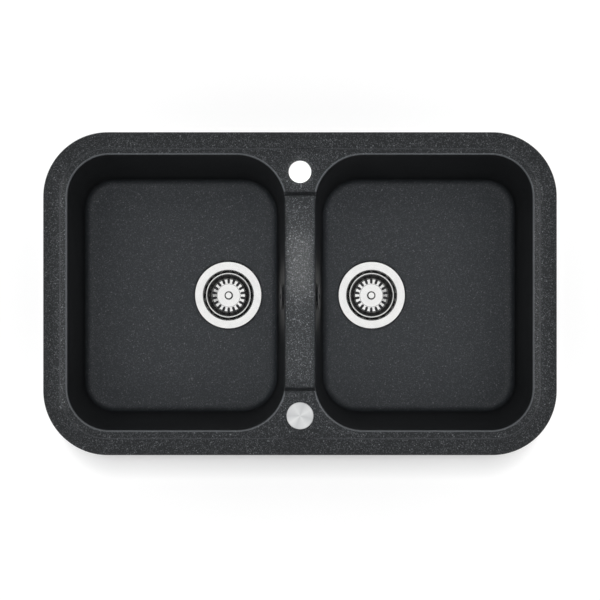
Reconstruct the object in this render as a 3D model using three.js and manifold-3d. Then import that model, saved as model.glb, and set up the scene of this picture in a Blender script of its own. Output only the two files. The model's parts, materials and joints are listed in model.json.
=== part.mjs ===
// A double bowl inset kitchen sink, moulded in one piece from stone and resin, with the wastes, overflow,
// tap hole cover and clips that are delivered with it.
//
// Millimetres, +X right, +Y towards the tap, +Z up. Z = 0 is the top of the worktop, on which the rim lies,
// and the origin is the middle of the worktop's cut-out.
import * as THREE from "three";
import { mergeVertices } from "three/addons/utils/BufferGeometryUtils.js";
import Module from "manifold-3d";

const wasm = await Module();
wasm.setup();

// ---------------------------------------------------------------- driving dimensions

const fit = 0.3; // clearance between pieces that touch

// The worktop that the sink hangs in
const worktopThickness = 38;
const rimOverlap = 10; // width of the rim that lies on the worktop

// Rim and deck
const sinkLength = 795;
const sinkWidth = 500;
const rimCornerRadius = 100;
const rimHeight = 9;
const rimEdgeRadius = 3;
const rimUnderChamfer = 0.8;
const borderWidth = 25; // the raised border round the rim
const borderStep = 1.5;
const borderStepRun = 1.2;
const slopeRun = 5; // the deck falls a little, just inside the border
const slopeDrop = 0.8;
const deckThickness = 10;
const deckPlateInset = rimOverlap + 4; // the deck is thicker inside the cut-out
const grooveInset = 2; // the groove for the seal, under the rim
const grooveWidth = 6;
const grooveDepth = 2.5;

// Tap holes, one at the back and one at the front
const tapHoleRadius = 17.5;
const tapHoleInset = 61; // from the rim's edge to the middle of the hole

// Bowls
const dividerWidth = 47;
const sideBorder = 37.5; // from the rim's edge to the bowls' edge, at the sides
const backBorder = 35.4;
const frontBorder = 39;
const outerCornerRadius = 65;
const innerCornerRadius = 75; // the corners beside the divider
const bowlDepth = 190;
const wallThickness = 9;
const sideDraft = 11.6; // how far the foot of a wall lies inside its top
const endDraft = 24;
const cornerDraft = 15;
const footRadius = 18;
const lipRadius = 4;
const floorFall = 1.5; // from the walls to the drain

// The lowered saddle between the bowls
const saddleDrop = 12;
const saddleBackInset = 59.6; // from the bowls' back edge to the middle of the ramp
const saddleFrontInset = 63;
const saddleRamp = 8;
const saddleEndWall = 6;

// Drains
const drainFromDivider = 92.5; // from the edge of the divider
const drainY = 2.5;
const wasteHoleRadius = 45;
const recessClearance = 1.5;
const recessDepth = 3;

// Strainer cup, pressed from sheet
const cupSheet = 1;
const flangeRadius = 55;
const flangeRoll = 2;
const flangeProud = 0.4;
const flangeFall = 0.8;
const mouthRadius = 40.4;
const mouthRound = 2.6;
const cupWallRadius = 39;
const cupWallDepth = 15;
const cupFootRadius = 4;
const seatRadius = 28;
const seatDepth = 22;
const seatRun = 2;
const wellDepth = 34;
const drainHoleCount = 6;
const drainHoleRadius = 5.5;
const drainHoleRing = 15.5;

// Basket, pressed from sheet
const basketSheet = 0.8;
const basketRimRadius = 36.6;
const basketRimRound = 1.3;
const basketRimDepth = 3.7;
const basketWallRadius = 30.5;
const basketWallDepth = 14;
const plateRadius = 18.5;
const plateDepth = 21.5;
const slotCount = 18;
const slotWidth = 3.6;
const slotInnerEnd = 19.4;
const slotOuterEnd = 29.4;

// Knob, plug and nut of the basket
const knobRadius = 6.6;
const knobHeight = 9;
const stemRadius = 2.5;
const plugThickness = 2.4;
const plugNutRadius = 5.5;
const plugNutHeight = 3;

// Waste body, moulded in plastic, under the bowl
const gasketThickness = 2.7;
const gasketInnerRadius = 46;
const gasketOuterRadius = 56;
const bodyFlangeRadius = 57;
const bodyFlangeHeight = 4.7;
const bodyRadius = 48;
const bodyWall = 3.5;
const bodyHeight = 47; // straight part, from the gasket down
const coneHeight = 12;
const outletRadius = 23.9; // 1 1/2 inch pipe thread
const outletBore = 20;
const outletHeight = 26;
const outletChamfer = 1;
const hubRadius = 8;
const spokeThickness = 3;
const spokeHeight = 12;
const clampScrewRadius = 3;
const clampHeadRadius = 6;
const clampHeadHeight = 3;
const insertRadius = 5;
const insertHeight = 9;

// Overflow inlet on the waste body
const inletTilt = THREE.MathUtils.degToRad(35);
const inletReach = 64.5; // from the drain's axis to the mouth
const inletDrop = 32; // from the drain to the mouth
const inletRadius = 12;
const inletBore = 8.5;
const inletLength = 26;

// Overflow in the divider
const overflowY = -3;
const overflowZ = -41;
const overflowHoleRadius = 14;
const coverRadius = 21;
const coverStandoff = 2;
const coverSheet = 1.2;
const coverDome = 0.8;
const footCount = 4;
const coverFootRadius = 1.8;
const overflowGasket = 1.7;
const overflowGasketRadius = 20;
const collectorRadius = 21;
const collectorBore = 15;
const collectorBossRadius = 5.5;
const collectorWeb = 3;
const overflowScrewRadius = 2.5;
const overflowScrewLength = 22;
const overflowHeadRadius = 4.5;
const overflowHeadHeight = 1.6;
const tailEndZ = -86;

// Hose from the collector to the left waste
const hoseRadius = 10;
const hoseGroove = 1.3; // depth of the corrugation
const hoseBore = 7.5;
const hoseBend = 80; // bend radius of its middle line
const ribPitch = 5;
const hoseNutRadius = 15.5;
const hoseNutLength = 16;
const hoseNutLip = 3;

// Cover of the front tap hole
const holeCoverRadius = 21;
const holeCoverThickness = 2.2;
const holeCoverDome = 1.1;
const holeCoverSeal = 1.2;
const holeCoverStud = 4;
const holeCoverStudLength = 34;
const holeCoverWasherRadius = 23;
const holeCoverWasherHeight = 3;
const wingNutRadius = 9;
const wingNutHeight = 8;
const wingSpan = 36;
const wingThickness = 3;

// Worktop clips
const clipFromCorner = 36; // clips on the short sides, from where the bowls' corners begin
const bossProud = 5.5; // from the top of the wall's outer face to the boss's face
const bossWidth = 26;
const bossHeight = 28;
const bossCorner = 5;
const clipScrewZ = -29;
const clipScrewRadius = 2.5;
const clipScrewDepth = 12;
const clipHeadRadius = 4.8;
const clipHeadHeight = 3.4;
const clipSheet = 2;
const clipWidth = 18;
const clipTravel = 9;
const clipTopMargin = 3.5;
const clipJawReach = 20;
const clipJawRise = 7.2;
const clipTeeth = 3;
const clipToothDepth = 2;

// ---------------------------------------------------------------- levels and places worked out from them

const bowlLength = (sinkLength - dividerWidth) / 2 - sideBorder;
const bowlBack = sinkWidth / 2 - backBorder; // from the middle of the sink
const bowlFront = sinkWidth / 2 - frontBorder;
const bowlMiddle = (dividerWidth + bowlLength) / 2;
const saddleBack = bowlBack - saddleBackInset;
const saddleFront = bowlFront - saddleFrontInset;
const tapHoleSetting = sinkWidth / 2 - tapHoleInset;
const drainX = dividerWidth / 2 + drainFromDivider;
const deckZ = rimHeight - borderStep - slopeDrop;
const deckUnderZ = deckZ - deckThickness;
const saddleZ = deckZ - saddleDrop;
const wallTopZ = deckZ - lipRadius;
const floorZ = rimHeight - bowlDepth;
const wallFootZ = floorZ + footRadius;
const undersideZ = floorZ - wallThickness;
const drainZ = floorZ - floorFall;
const recessRadius = flangeRadius + recessClearance;
const toUnderside = drainZ - undersideZ;
const dividerSlope = sideDraft / (wallTopZ - wallFootZ);

// ---------------------------------------------------------------- finishes

const finish = (color, roughness, metalness) =>
  new THREE.MeshStandardMaterial({ color, roughness, metalness });
const composite = finish(0x2c2e30, 0.62, 0);
const steel = finish(0xd8d9da, 0.24, 1);
const spunSteel = finish(0xd5d7d8, 0.35, 1);
const zinc = finish(0xb9bcbd, 0.42, 1);
const brass = finish(0xc7a252, 0.35, 1);
const rubber = finish(0x1a1a1b, 0.85, 0);
const foam = finish(0x3a3b3d, 0.95, 0);
const plastic = finish(0xe6e6e2, 0.5, 0);

// ---------------------------------------------------------------- making and joining solids

// A solid from a closed geometry, with its faces turned outwards.
function solid(geometry) {
  const bare = geometry.clone();
  bare.deleteAttribute("normal");
  bare.deleteAttribute("uv");
  const merged = mergeVertices(bare, 1e-4);
  const position = merged.getAttribute("position");
  const triangles = [];
  for (let i = 0; i < merged.index.count; i += 3) {
    const [a, b, c] = [0, 1, 2].map((k) => merged.index.getX(i + k));
    if (a !== b && b !== c && c !== a) triangles.push(a, b, c);
  }
  if (signedVolume(position, triangles) < 0) triangles.reverse();
  return new wasm.Manifold(
    new wasm.Mesh({
      numProp: 3,
      vertProperties: position.array,
      triVerts: Uint32Array.from(triangles),
    }),
  );
}

function signedVolume(position, triangles) {
  const corner = (k) => new THREE.Vector3().fromBufferAttribute(position, triangles[k]);
  let sum = 0;
  for (let i = 0; i < triangles.length; i += 3) {
    sum += corner(i).dot(corner(i + 1).cross(corner(i + 2))) / 6;
  }
  return sum;
}

const joined = (...bodies) => bodies.reduce((all, body) => all.add(body));
const cut = (body, ...tools) => tools.reduce((left, tool) => left.subtract(tool), body);

function geometryOf(body) {
  const made = body.getMesh();
  return new THREE.BufferGeometry()
    .setAttribute("position", new THREE.BufferAttribute(made.vertProperties, 3))
    .setIndex(new THREE.BufferAttribute(made.triVerts, 1));
}

const sink = new THREE.Group();

function addPiece(name, body, material, group = sink) {
  const mesh = new THREE.Mesh(geometryOf(body), material);
  mesh.name = name;
  group.add(mesh);
  return mesh;
}

// A body turned about Z from [radius, height] points, which close on the axis or on themselves.
function turned(points, segments = 24) {
  const profile = points.map(([r, z]) => new THREE.Vector2(r, z));
  const onAxis = profile[0].x === 0 && profile.at(-1).x === 0;
  if (!onAxis) profile.push(profile[0].clone());
  return solid(new THREE.LatheGeometry(profile, segments).rotateX(Math.PI / 2));
}

// A round bar or bore along Z.
function bar(radius, low, high, segments = 24, x = 0, y = 0) {
  const geometry = new THREE.CylinderGeometry(radius, radius, high - low, segments);
  geometry.rotateX(Math.PI / 2).translate(x, y, (low + high) / 2);
  return geometry;
}

const roundBar = (...size) => solid(bar(...size));

function ring(inner, outer, low, high, segments = 20) {
  return turned(
    [
      [inner, low],
      [outer, low],
      [outer, high],
      [inner, high],
    ],
    segments,
  );
}

// Points of an arc in a profile, by angle in degrees from the direction of growing radius.
function arc(r, z, radius, from, to, steps, height = radius) {
  return Array.from({ length: steps + 1 }, (_, i) => {
    const angle = THREE.MathUtils.degToRad(from + ((to - from) * i) / steps);
    return [r + radius * Math.cos(angle), z + height * Math.sin(angle)];
  });
}

// The closed profile of a pressed sheet: its upper line, and that line moved to its left by the thickness.
function sheetProfile(line, thickness) {
  const points = line.map(([r, z]) => new THREE.Vector2(r, z));
  const normal = (a, b) => new THREE.Vector2(a.y - b.y, b.x - a.x).normalize();
  const under = points.map((point, i) => {
    const before = normal(points[Math.max(i - 1, 0)], points[Math.max(i, 1)]);
    const last = points.length - 1;
    const after = normal(points[Math.min(i, last - 1)], points[Math.min(i + 1, last)]);
    const mitre = before.clone().add(after);
    return point.clone().addScaledVector(mitre, thickness / (1 + before.dot(after)));
  });
  return [...points, ...under.reverse()].map((p) => [p.x, p.y]);
}

// A skin over loops of equally many points, closed by a cap at each end or, when round, on itself.
function loft(loops, { round = false, apex = null } = {}) {
  const count = loops[0].length;
  const points = loops.flat();
  const index = [];
  const spans = round ? loops.length : loops.length - 1;
  for (let i = 0; i < spans; i++) {
    const low = i * count;
    const high = ((i + 1) % loops.length) * count;
    for (let j = 0; j < count; j++) {
      const k = (j + 1) % count;
      index.push(low + j, low + k, high + k, low + j, high + k, high + j);
    }
  }
  if (!round) {
    const middle = (loop) =>
      loop.reduce((sum, p) => sum.add(p), new THREE.Vector3()).divideScalar(count);
    const lowMiddle = points.push(apex ?? middle(loops[0])) - 1;
    const highMiddle = points.push(middle(loops.at(-1))) - 1;
    const top = (loops.length - 1) * count;
    for (let j = 0; j < count; j++) {
      const k = (j + 1) % count;
      index.push(lowMiddle, k, j, highMiddle, top + j, top + k);
    }
  }
  return solid(new THREE.BufferGeometry().setFromPoints(points).setIndex(index));
}

// An outline in the YZ plane, drawn out along X on both sides of x = 0.
function drawnAlongX(points, halfLength) {
  const shape = new THREE.Shape(points.map(([y, z]) => new THREE.Vector2(y, z)));
  const geometry = new THREE.ExtrudeGeometry(shape, { depth: 2 * halfLength, bevelEnabled: false });
  const axes = new THREE.Matrix4().makeBasis(
    new THREE.Vector3(0, 1, 0),
    new THREE.Vector3(0, 0, 1),
    new THREE.Vector3(1, 0, 0),
  );
  return solid(geometry.translate(0, 0, -halfLength).applyMatrix4(axes));
}

const box = (x0, x1, y0, y1, z0, z1) =>
  solid(
    new THREE.BoxGeometry(x1 - x0, y1 - y0, z1 - z0).translate(
      (x0 + x1) / 2,
      (y0 + y1) / 2,
      (z0 + z1) / 2,
    ),
  );

// The same body seen in another frame: its Z axis along a direction, its origin at a point.
function placed(geometry, origin, direction) {
  const turn = new THREE.Quaternion().setFromUnitVectors(new THREE.Vector3(0, 0, 1), direction);
  return solid(geometry.clone().applyQuaternion(turn).translate(origin.x, origin.y, origin.z));
}

// ---------------------------------------------------------------- sink body

// The rim's outline, drawn in by an inset, anticlockwise from above.
function rimLoop(inset, z, segments = 7) {
  const halfX = sinkLength / 2 - inset;
  const halfY = sinkWidth / 2 - inset;
  const radius = rimCornerRadius - inset;
  const corners = [
    [1, -1, -90],
    [1, 1, 0],
    [-1, 1, 90],
    [-1, -1, 180],
  ];
  return corners.flatMap(([sx, sy, start]) =>
    arc(sx * (halfX - radius), sy * (halfY - radius), radius, start, start + 90, segments).map(
      ([x, y]) => new THREE.Vector3(x, y, z),
    ),
  );
}

function rimPlate() {
  const edge = arc(0, 0, rimEdgeRadius, 0, 90, 2).map(([out, up]) =>
    rimLoop(rimEdgeRadius - out, rimHeight - rimEdgeRadius + up),
  );
  const stepFoot = borderWidth + borderStepRun;
  return loft([
    rimLoop(deckPlateInset, deckUnderZ),
    rimLoop(deckPlateInset, 0),
    rimLoop(rimUnderChamfer, 0),
    rimLoop(0, rimUnderChamfer),
    ...edge,
    rimLoop(borderWidth, rimHeight),
    rimLoop(stepFoot, rimHeight - borderStep),
    rimLoop(stepFoot + slopeRun, deckZ),
  ]);
}

// Height of the deck on the sink's centre line: level, and lowered between the bowls.
function deckHeight(y) {
  const into = Math.min(saddleBack + saddleRamp / 2 - y, y + saddleFront + saddleRamp / 2);
  const way = THREE.MathUtils.smoothstep(into, 0, saddleRamp);
  return deckZ - saddleDrop * way;
}

// Places along Y where the saddle's ramps need a point.
function rampStations(middle) {
  const steps = 4;
  return Array.from({ length: steps + 1 }, (_, i) => middle + saddleRamp * (i / steps - 0.5));
}

// The plan of the right bowl at one height: a rectangle drawn in by the walls' draft, grown by an offset.
function bowlPlan(z, offset) {
  const drawn = (wallTopZ - z) / (wallTopZ - wallFootZ);
  return {
    x0: dividerWidth / 2 + sideDraft * drawn - offset,
    x1: dividerWidth / 2 + bowlLength - sideDraft * drawn + offset,
    y0: -bowlFront + endDraft * drawn - offset,
    y1: bowlBack - endDraft * drawn + offset,
    inner: innerCornerRadius - cornerDraft * drawn + offset,
    outer: outerCornerRadius - cornerDraft * drawn + offset,
  };
}

// Angles of the points round the bowl, anticlockwise from the front outer corner. For the bowl's edge the
// corners beside the divider also have a point at each station of the saddle's ramps.
function bowlAngles(withRamps, segments = 6) {
  const even = Array.from({ length: segments + 1 }, (_, i) => (90 * i) / segments);
  const beside = (stations, centre) => {
    const fine = stations.map((y) =>
      THREE.MathUtils.radToDeg(Math.asin(Math.abs(y - centre) / innerCornerRadius)),
    );
    const reach = Math.max(...fine) + 45 / segments;
    return [0, ...fine, ...even.filter((angle) => angle > reach)].sort((a, b) => a - b);
  };
  const back = withRamps ? beside(rampStations(saddleBack), bowlBack - innerCornerRadius) : even;
  const front = withRamps ? beside(rampStations(-saddleFront), innerCornerRadius - bowlFront) : even;
  return [
    ...even.map((angle) => ["frontOuter", angle - 90]),
    ...even.map((angle) => ["backOuter", angle]),
    ...back.map((angle) => ["backInner", 180 - angle]).reverse(),
    ...front.map((angle) => ["frontInner", 180 + angle]),
  ];
}

function bowlPoint([corner, angle], z, offset) {
  const plan = bowlPlan(z, offset);
  const radius = corner.endsWith("Inner") ? plan.inner : plan.outer;
  const x = corner.endsWith("Inner") ? plan.x0 + radius : plan.x1 - radius;
  const y = corner.startsWith("back") ? plan.y1 - radius : plan.y0 + radius;
  const [[px, py]] = arc(x, y, radius, angle, angle, 1);
  return new THREE.Vector3(px, py, z);
}

const bowlLoop = (z, offset, withRamps) =>
  bowlAngles(withRamps).map((place) => bowlPoint(place, z, offset));

// A loop that follows the deck's edge: as far below or above the local deck as the lip's rounding says.
function lipLoop(out, below) {
  return bowlAngles(true).map((place) => {
    const edge = bowlPoint(place, wallTopZ, 0);
    const besideDivider = edge.x < dividerWidth / 2 + innerCornerRadius / 2;
    const top = besideDivider ? deckHeight(edge.y) : deckZ;
    const point = bowlPoint(place, top - lipRadius, out);
    point.z = top - below;
    return point;
  });
}

// Loops of the rounded foot of a wall, from the floor up.
function footLoops(radius, level, offset, withRamps) {
  return arc(0, 0, radius, 90, 0, 3).map(([out, down]) => {
    const loop = bowlLoop(wallFootZ, offset - radius + out, withRamps);
    return loop.map((point) => point.setZ(level + radius - down));
  });
}

// The space inside the right bowl, up through the deck.
function bowlSpace() {
  const lip = arc(0, 0, lipRadius, 180, 90, 3).map(([out, up]) =>
    lipLoop(lipRadius + out, lipRadius - up),
  );
  const above = lipLoop(lipRadius, 0).map((point) => point.setZ(2 * rimHeight));
  const drain = new THREE.Vector3(drainX, drainY, drainZ);
  return loft([...footLoops(footRadius, floorZ, 0, true), ...lip, above], { apex: drain });
}

// The right bowl's outer form, up into the deck.
function bowlShell() {
  const outerFoot = footRadius + wallThickness;
  return loft([
    ...footLoops(outerFoot, undersideZ, wallThickness, false),
    bowlLoop(deckUnderZ / 2, wallThickness, false),
  ]);
}

function mirrored(body) {
  return body.mirror([1, 0, 0]);
}

function saddleWeb() {
  const reach = saddleRamp / 2 + saddleEndWall;
  const half = dividerWidth / 2 - wallThickness / 2;
  const under = saddleZ - wallThickness;
  return box(-half, half, -saddleFront - reach, saddleBack + reach, under, deckUnderZ + fit);
}

// What is taken away over the saddle, from one bowl to the other.
function saddleSpace() {
  const above = 2 * rimHeight;
  const floor = [...rampStations(-saddleFront), ...rampStations(saddleBack)];
  const line = floor.map((y) => [y, deckHeight(y)]);
  return drawnAlongX([[line[0][0], above], ...line, [line.at(-1)[0], above]], dividerWidth);
}

// Where the overflow goes through a divider wall: a point on the bowl's face, and the way into the bowl.
function overflowPlace(side) {
  const x = dividerWidth / 2 + dividerSlope * (wallTopZ - overflowZ);
  return {
    origin: new THREE.Vector3(side * x, overflowY, overflowZ),
    direction: new THREE.Vector3(side, 0, dividerSlope).normalize(),
  };
}

// The clips' places: a point on the boss's face, and the turn about Z that faces it outwards.
function clipSites() {
  const sideFace = dividerWidth / 2 + bowlLength + wallThickness + bossProud;
  const backFace = bowlBack + wallThickness + bossProud;
  const frontFace = bowlFront + wallThickness + bossProud;
  const sites = [];
  const straightFront = bowlFront - outerCornerRadius - clipFromCorner;
  const straightBack = bowlBack - outerCornerRadius - clipFromCorner;
  for (const [end, along] of [["front", -straightFront], ["back", straightBack]]) {
    sites.push({ name: `right_${end}_side`, turn: 0, x: sideFace, y: along, draft: sideDraft });
    sites.push({ name: `left_${end}_side`, turn: Math.PI, x: -sideFace, y: along, draft: sideDraft });
  }
  for (const [end, along] of [["left", -bowlMiddle], ["right", bowlMiddle]]) {
    sites.push({ name: `back_${end}`, turn: Math.PI / 2, x: along, y: backFace, draft: endDraft });
    sites.push({ name: `front_${end}`, turn: -Math.PI / 2, x: along, y: -frontFace, draft: endDraft });
  }
  return sites;
}

// A clip's boss, seen from its own site: X outwards from the face, Z up.
function clipBoss(draft) {
  const bottom = clipScrewZ - bossHeight / 2;
  const lean = (draft * (wallTopZ - bottom)) / (wallTopZ - wallFootZ);
  const depth = bossProud + lean + wallThickness / 2;
  const half = bossWidth / 2 - bossCorner;
  const rise = bossHeight / 2 - bossCorner;
  const outline = [
    ...arc(half, -rise, bossCorner, -90, 0, 1),
    ...arc(half, rise, bossCorner, 0, 90, 1),
    ...arc(-half, rise, bossCorner, 90, 180, 1),
    ...arc(-half, -rise, bossCorner, 180, 270, 1),
  ].map(([y, z]) => [y, clipScrewZ + z]);
  return { outline, depth };
}

function atSite(body, site) {
  const turn = new THREE.Matrix4().makeRotationZ(site.turn);
  return body.transform(turn.setPosition(site.x, site.y, 0).toArray());
}

function sinkBody() {
  const shell = bowlShell();
  const space = bowlSpace();
  let body = joined(rimPlate(), shell, mirrored(shell), saddleWeb());
  for (const site of clipSites()) {
    const { outline, depth } = clipBoss(site.draft);
    const boss = drawnAlongX(outline, depth / 2).translate([-depth / 2, 0, 0]);
    body = body.add(atSite(boss, site));
  }
  body = cut(body, space, mirrored(space), saddleSpace());
  const groove = [
    rimLoop(grooveInset, -1),
    rimLoop(grooveInset, grooveDepth),
    rimLoop(grooveInset + grooveWidth, grooveDepth),
    rimLoop(grooveInset + grooveWidth, -1),
  ];
  body = cut(body, loft(groove, { round: true }));
  const across = new THREE.Vector3(1, 0, 0);
  const screwPlace = new THREE.Vector3(0, 0, clipScrewZ);
  const screwHole = placed(bar(clipScrewRadius + fit, -clipScrewDepth, 1, 8), screwPlace, across);
  for (const site of clipSites()) body = cut(body, atSite(screwHole, site));
  for (const side of [-1, 1]) {
    body = cut(
      body,
      roundBar(tapHoleRadius, 2 * deckUnderZ, 2 * rimHeight, 24, 0, side * tapHoleSetting),
      roundBar(recessRadius, drainZ - recessDepth, floorZ + 1, 28, side * drainX, drainY),
      roundBar(wasteHoleRadius, undersideZ - 1, floorZ, 28, side * drainX, drainY),
    );
    const { origin, direction } = overflowPlace(side);
    const through = bar(overflowHoleRadius, -2 * wallThickness, wallThickness, 20);
    body = cut(body, placed(through, origin, direction));
  }
  return body;
}

addPiece("sink_body", sinkBody(), composite);

const sealSection = [
  rimLoop(grooveInset + fit, 0),
  rimLoop(grooveInset + fit, grooveDepth - fit),
  rimLoop(grooveInset + grooveWidth - fit, grooveDepth - fit),
  rimLoop(grooveInset + grooveWidth - fit, 0),
];
addPiece("rim_seal", loft(sealSection, { round: true }), foam);

// ---------------------------------------------------------------- wastes, each about its own drain axis

// The upper line of the strainer cup, from the rolled edge of its flange in to the screw hole.
function cupLine() {
  const rollCentre = flangeRadius - flangeRoll;
  const mouthTop = flangeProud - flangeFall;
  return [
    ...arc(rollCentre, flangeProud - flangeRoll, flangeRoll, 0, 90, 2),
    ...arc(mouthRadius + mouthRound, mouthTop - mouthRound, mouthRound, 90, 180, 2),
    ...arc(cupWallRadius - cupFootRadius, -cupWallDepth, cupFootRadius, 0, -90, 1),
    [seatRadius, -seatDepth],
    [seatRadius - seatRun, -seatDepth - seatRun],
    [seatRadius - 2 * seatRun, -wellDepth],
    [clampScrewRadius + fit, -wellDepth],
  ];
}

function strainerCup() {
  const holes = Array.from({ length: drainHoleCount }, (_, i) => {
    const angle = (2 * Math.PI * i) / drainHoleCount;
    const [x, y] = [drainHoleRing * Math.cos(angle), drainHoleRing * Math.sin(angle)];
    return roundBar(drainHoleRadius, -wellDepth - 2 * cupSheet, -wellDepth + cupSheet, 8, x, y);
  });
  return cut(turned(sheetProfile(cupLine(), cupSheet), 24), ...holes);
}

function basketLine() {
  const rimMiddle = basketRimRadius - basketRimRound;
  const shoulder = basketWallRadius - plateRadius;
  return [
    ...arc(rimMiddle, -basketRimDepth - basketRimRound, basketRimRound, 0, 180, 2),
    ...arc(plateRadius, -basketWallDepth, shoulder, 0, -90, 2, plateDepth - basketWallDepth),
    [stemRadius + fit, -plateDepth],
  ];
}

function basketSlot(index) {
  const round = slotWidth / 2;
  const outline = [
    ...arc(slotOuterEnd - round, 0, round, -90, 90, 2),
    ...arc(slotInnerEnd + round, 0, round, 90, 270, 2),
  ];
  const shape = new THREE.Shape(outline.map(([x, y]) => new THREE.Vector2(x, y)));
  const slot = new THREE.ExtrudeGeometry(shape, { depth: plateDepth, bevelEnabled: false });
  slot.translate(0, 0, -plateDepth - 2 * basketSheet);
  return solid(slot.rotateZ(Math.PI / 2 + (2 * Math.PI * index) / slotCount));
}

function basket() {
  const slots = Array.from({ length: slotCount }, (_, i) => basketSlot(i));
  return cut(turned(sheetProfile(basketLine(), basketSheet), 24), ...slots);
}

const plateUnder = -plateDepth - basketSheet;
const plugTop = plateUnder - fit;
const plugBottom = plugTop - plugThickness;

// The plug's edge is cut to the cone of the seat that it closes.
function basketPlug() {
  const onSeat = (z) => seatRadius + (seatDepth + z) - fit * Math.SQRT2;
  const seatFoot = -seatDepth - seatRun;
  return turned(
    [
      [stemRadius + fit, plugTop],
      [onSeat(plugTop), plugTop],
      [onSeat(seatFoot), seatFoot],
      [onSeat(seatFoot) - seatRun, plugBottom],
      [stemRadius + fit, plugBottom],
    ],
  );
}

function basketKnob() {
  const foot = -plateDepth + fit;
  const top = foot + knobHeight;
  const stemEnd = plugBottom - fit - plugNutHeight;
  return turned(
    [
      [0, stemEnd],
      [stemRadius, stemEnd],
      [stemRadius, foot],
      [knobRadius * 0.72, foot],
      [knobRadius * 0.52, foot + knobHeight * 0.4],
      [knobRadius, top - knobHeight * 0.35],
      [knobRadius * 0.86, top - knobHeight * 0.08],
      [knobRadius * 0.6, top],
      [0, top],
    ],
    12,
  );
}

// The nut that holds the plug on the stem, open at the stem's thread.
function plugNut() {
  const top = plugBottom - fit;
  const bottom = top - plugNutHeight;
  return cut(roundBar(plugNutRadius, bottom, top, 6), roundBar(stemRadius + fit, bottom - 1, top + 1, 12));
}

const gasketTop = -toUnderside - fit;
const bodyTop = gasketTop - gasketThickness - fit;
const bodyFoot = bodyTop - bodyHeight;
const outletTop = bodyFoot - coneHeight;
const outletEnd = outletTop - outletHeight;
const hubTop = -wellDepth - cupSheet - fit;
const hubBottom = bodyFoot;

const inletMouth = new THREE.Vector3(inletReach, 0, -inletDrop);
const inletAxis = new THREE.Vector3(Math.cos(inletTilt), 0, Math.sin(inletTilt));

function wasteBody() {
  const inside = bodyRadius - bodyWall;
  const shell = turned(
    [
      [inside, bodyTop],
      [bodyFlangeRadius, bodyTop],
      [bodyFlangeRadius, bodyTop - bodyFlangeHeight],
      [bodyRadius, bodyTop - bodyFlangeHeight],
      [bodyRadius, bodyFoot],
      [outletRadius, outletTop],
      [outletRadius, outletEnd + outletChamfer],
      [outletRadius - outletChamfer, outletEnd],
      [outletBore, outletEnd],
      [outletBore, outletTop + bodyWall],
      [inside, bodyFoot + bodyWall],
    ],
  );
  const hub = roundBar(hubRadius, hubBottom, hubTop, 12);
  const reach = bodyRadius - bodyWall / 2;
  const spokeTop = hubTop - 1;
  const spoke = new THREE.BoxGeometry(2 * reach, spokeThickness, spokeHeight);
  spoke.translate(0, 0, spokeTop - spokeHeight / 2);
  const spokes = [1, 3].map((k) => solid(spoke.clone().rotateZ((k * Math.PI) / 4)));
  const inlet = placed(bar(inletRadius, -inletLength, 0, 16), inletMouth, inletAxis);
  const open = placed(bar(inletBore, -2 * inletLength, 1, 12), inletMouth, inletAxis);
  const insideWell = turned(
    [
      [hubRadius + fit, bodyTop],
      [inside, bodyTop],
      [inside, bodyFoot + bodyWall],
      [hubRadius + fit, bodyFoot + bodyWall],
    ],
  );
  const stub = cut(inlet, insideWell);
  const insertPocket = roundBar(insertRadius + fit, hubBottom - 1, hubBottom + insertHeight + fit, 12);
  const screwBore = roundBar(clampScrewRadius + fit, hubBottom, hubTop + 1, 12);
  return cut(joined(shell, hub, ...spokes, stub), open, insertPocket, screwBore);
}

function clampScrew() {
  const seat = -wellDepth + fit;
  const end = hubBottom + fit;
  return turned(
    [
      [0, end],
      [clampScrewRadius, end],
      [clampScrewRadius, seat],
      [clampHeadRadius, seat],
      [clampHeadRadius, seat + clampHeadHeight * 0.6],
      [clampHeadRadius * 0.7, seat + clampHeadHeight],
      [0, seat + clampHeadHeight],
    ],
    12,
  );
}

function addWaste(side, name) {
  const waste = new THREE.Group();
  waste.position.set(side * drainX, drainY, drainZ);
  sink.add(waste);
  const piece = (part, body, material) => addPiece(`${name}_${part}`, body, material, waste);
  const sealTop = flangeProud - flangeFall - cupSheet - fit;
  const ledge = -recessDepth + fit;
  piece("strainer_cup", strainerCup(), steel);
  piece("cup_seal", ring(wasteHoleRadius + 1, flangeRadius - flangeRoll - 1, ledge, sealTop), rubber);
  piece("basket", basket(), steel);
  piece("basket_knob", basketKnob(), steel);
  piece("basket_plug", basketPlug(), rubber);
  piece("basket_nut", plugNut(), steel);
  const gasket = ring(gasketInnerRadius, gasketOuterRadius, gasketTop - gasketThickness, gasketTop);
  piece("waste_gasket", gasket, rubber);
  piece("waste_body", wasteBody(), plastic).rotation.z = side < 0 ? 0 : Math.PI;
  piece("clamp_screw", clampScrew(), zinc);
  const insertTop = hubBottom + insertHeight;
  piece("clamp_insert", ring(clampScrewRadius + fit, insertRadius, hubBottom + fit, insertTop, 12), brass);
}

addWaste(-1, "left");
addWaste(1, "right");

// ---------------------------------------------------------------- overflow

// The face of the collector, its gasket and the cover lie square to the drafted wall of the divider.
const behindWall = -wallThickness * Math.cos(Math.atan(dividerSlope)) - fit;
const collectorFace = behindWall - overflowGasket - fit;

function overflowCover() {
  const low = coverStandoff;
  const disc = turned(
    [
      [overflowScrewRadius + fit, low],
      [coverRadius - 0.4, low],
      [coverRadius, low + coverSheet / 2],
      [coverRadius - 0.8, low + coverSheet],
      [overflowScrewRadius + fit, low + coverSheet + coverDome],
    ],
  );
  const feet = Array.from({ length: footCount }, (_, i) => {
    const angle = (2 * Math.PI * (i + 0.5)) / footCount;
    const [x, y] = [Math.cos(angle), Math.sin(angle)].map((part) => (coverRadius - 3.5) * part);
    return roundBar(coverFootRadius, fit, low + coverSheet / 2, 6, x, y);
  });
  return joined(disc, ...feet);
}

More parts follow.
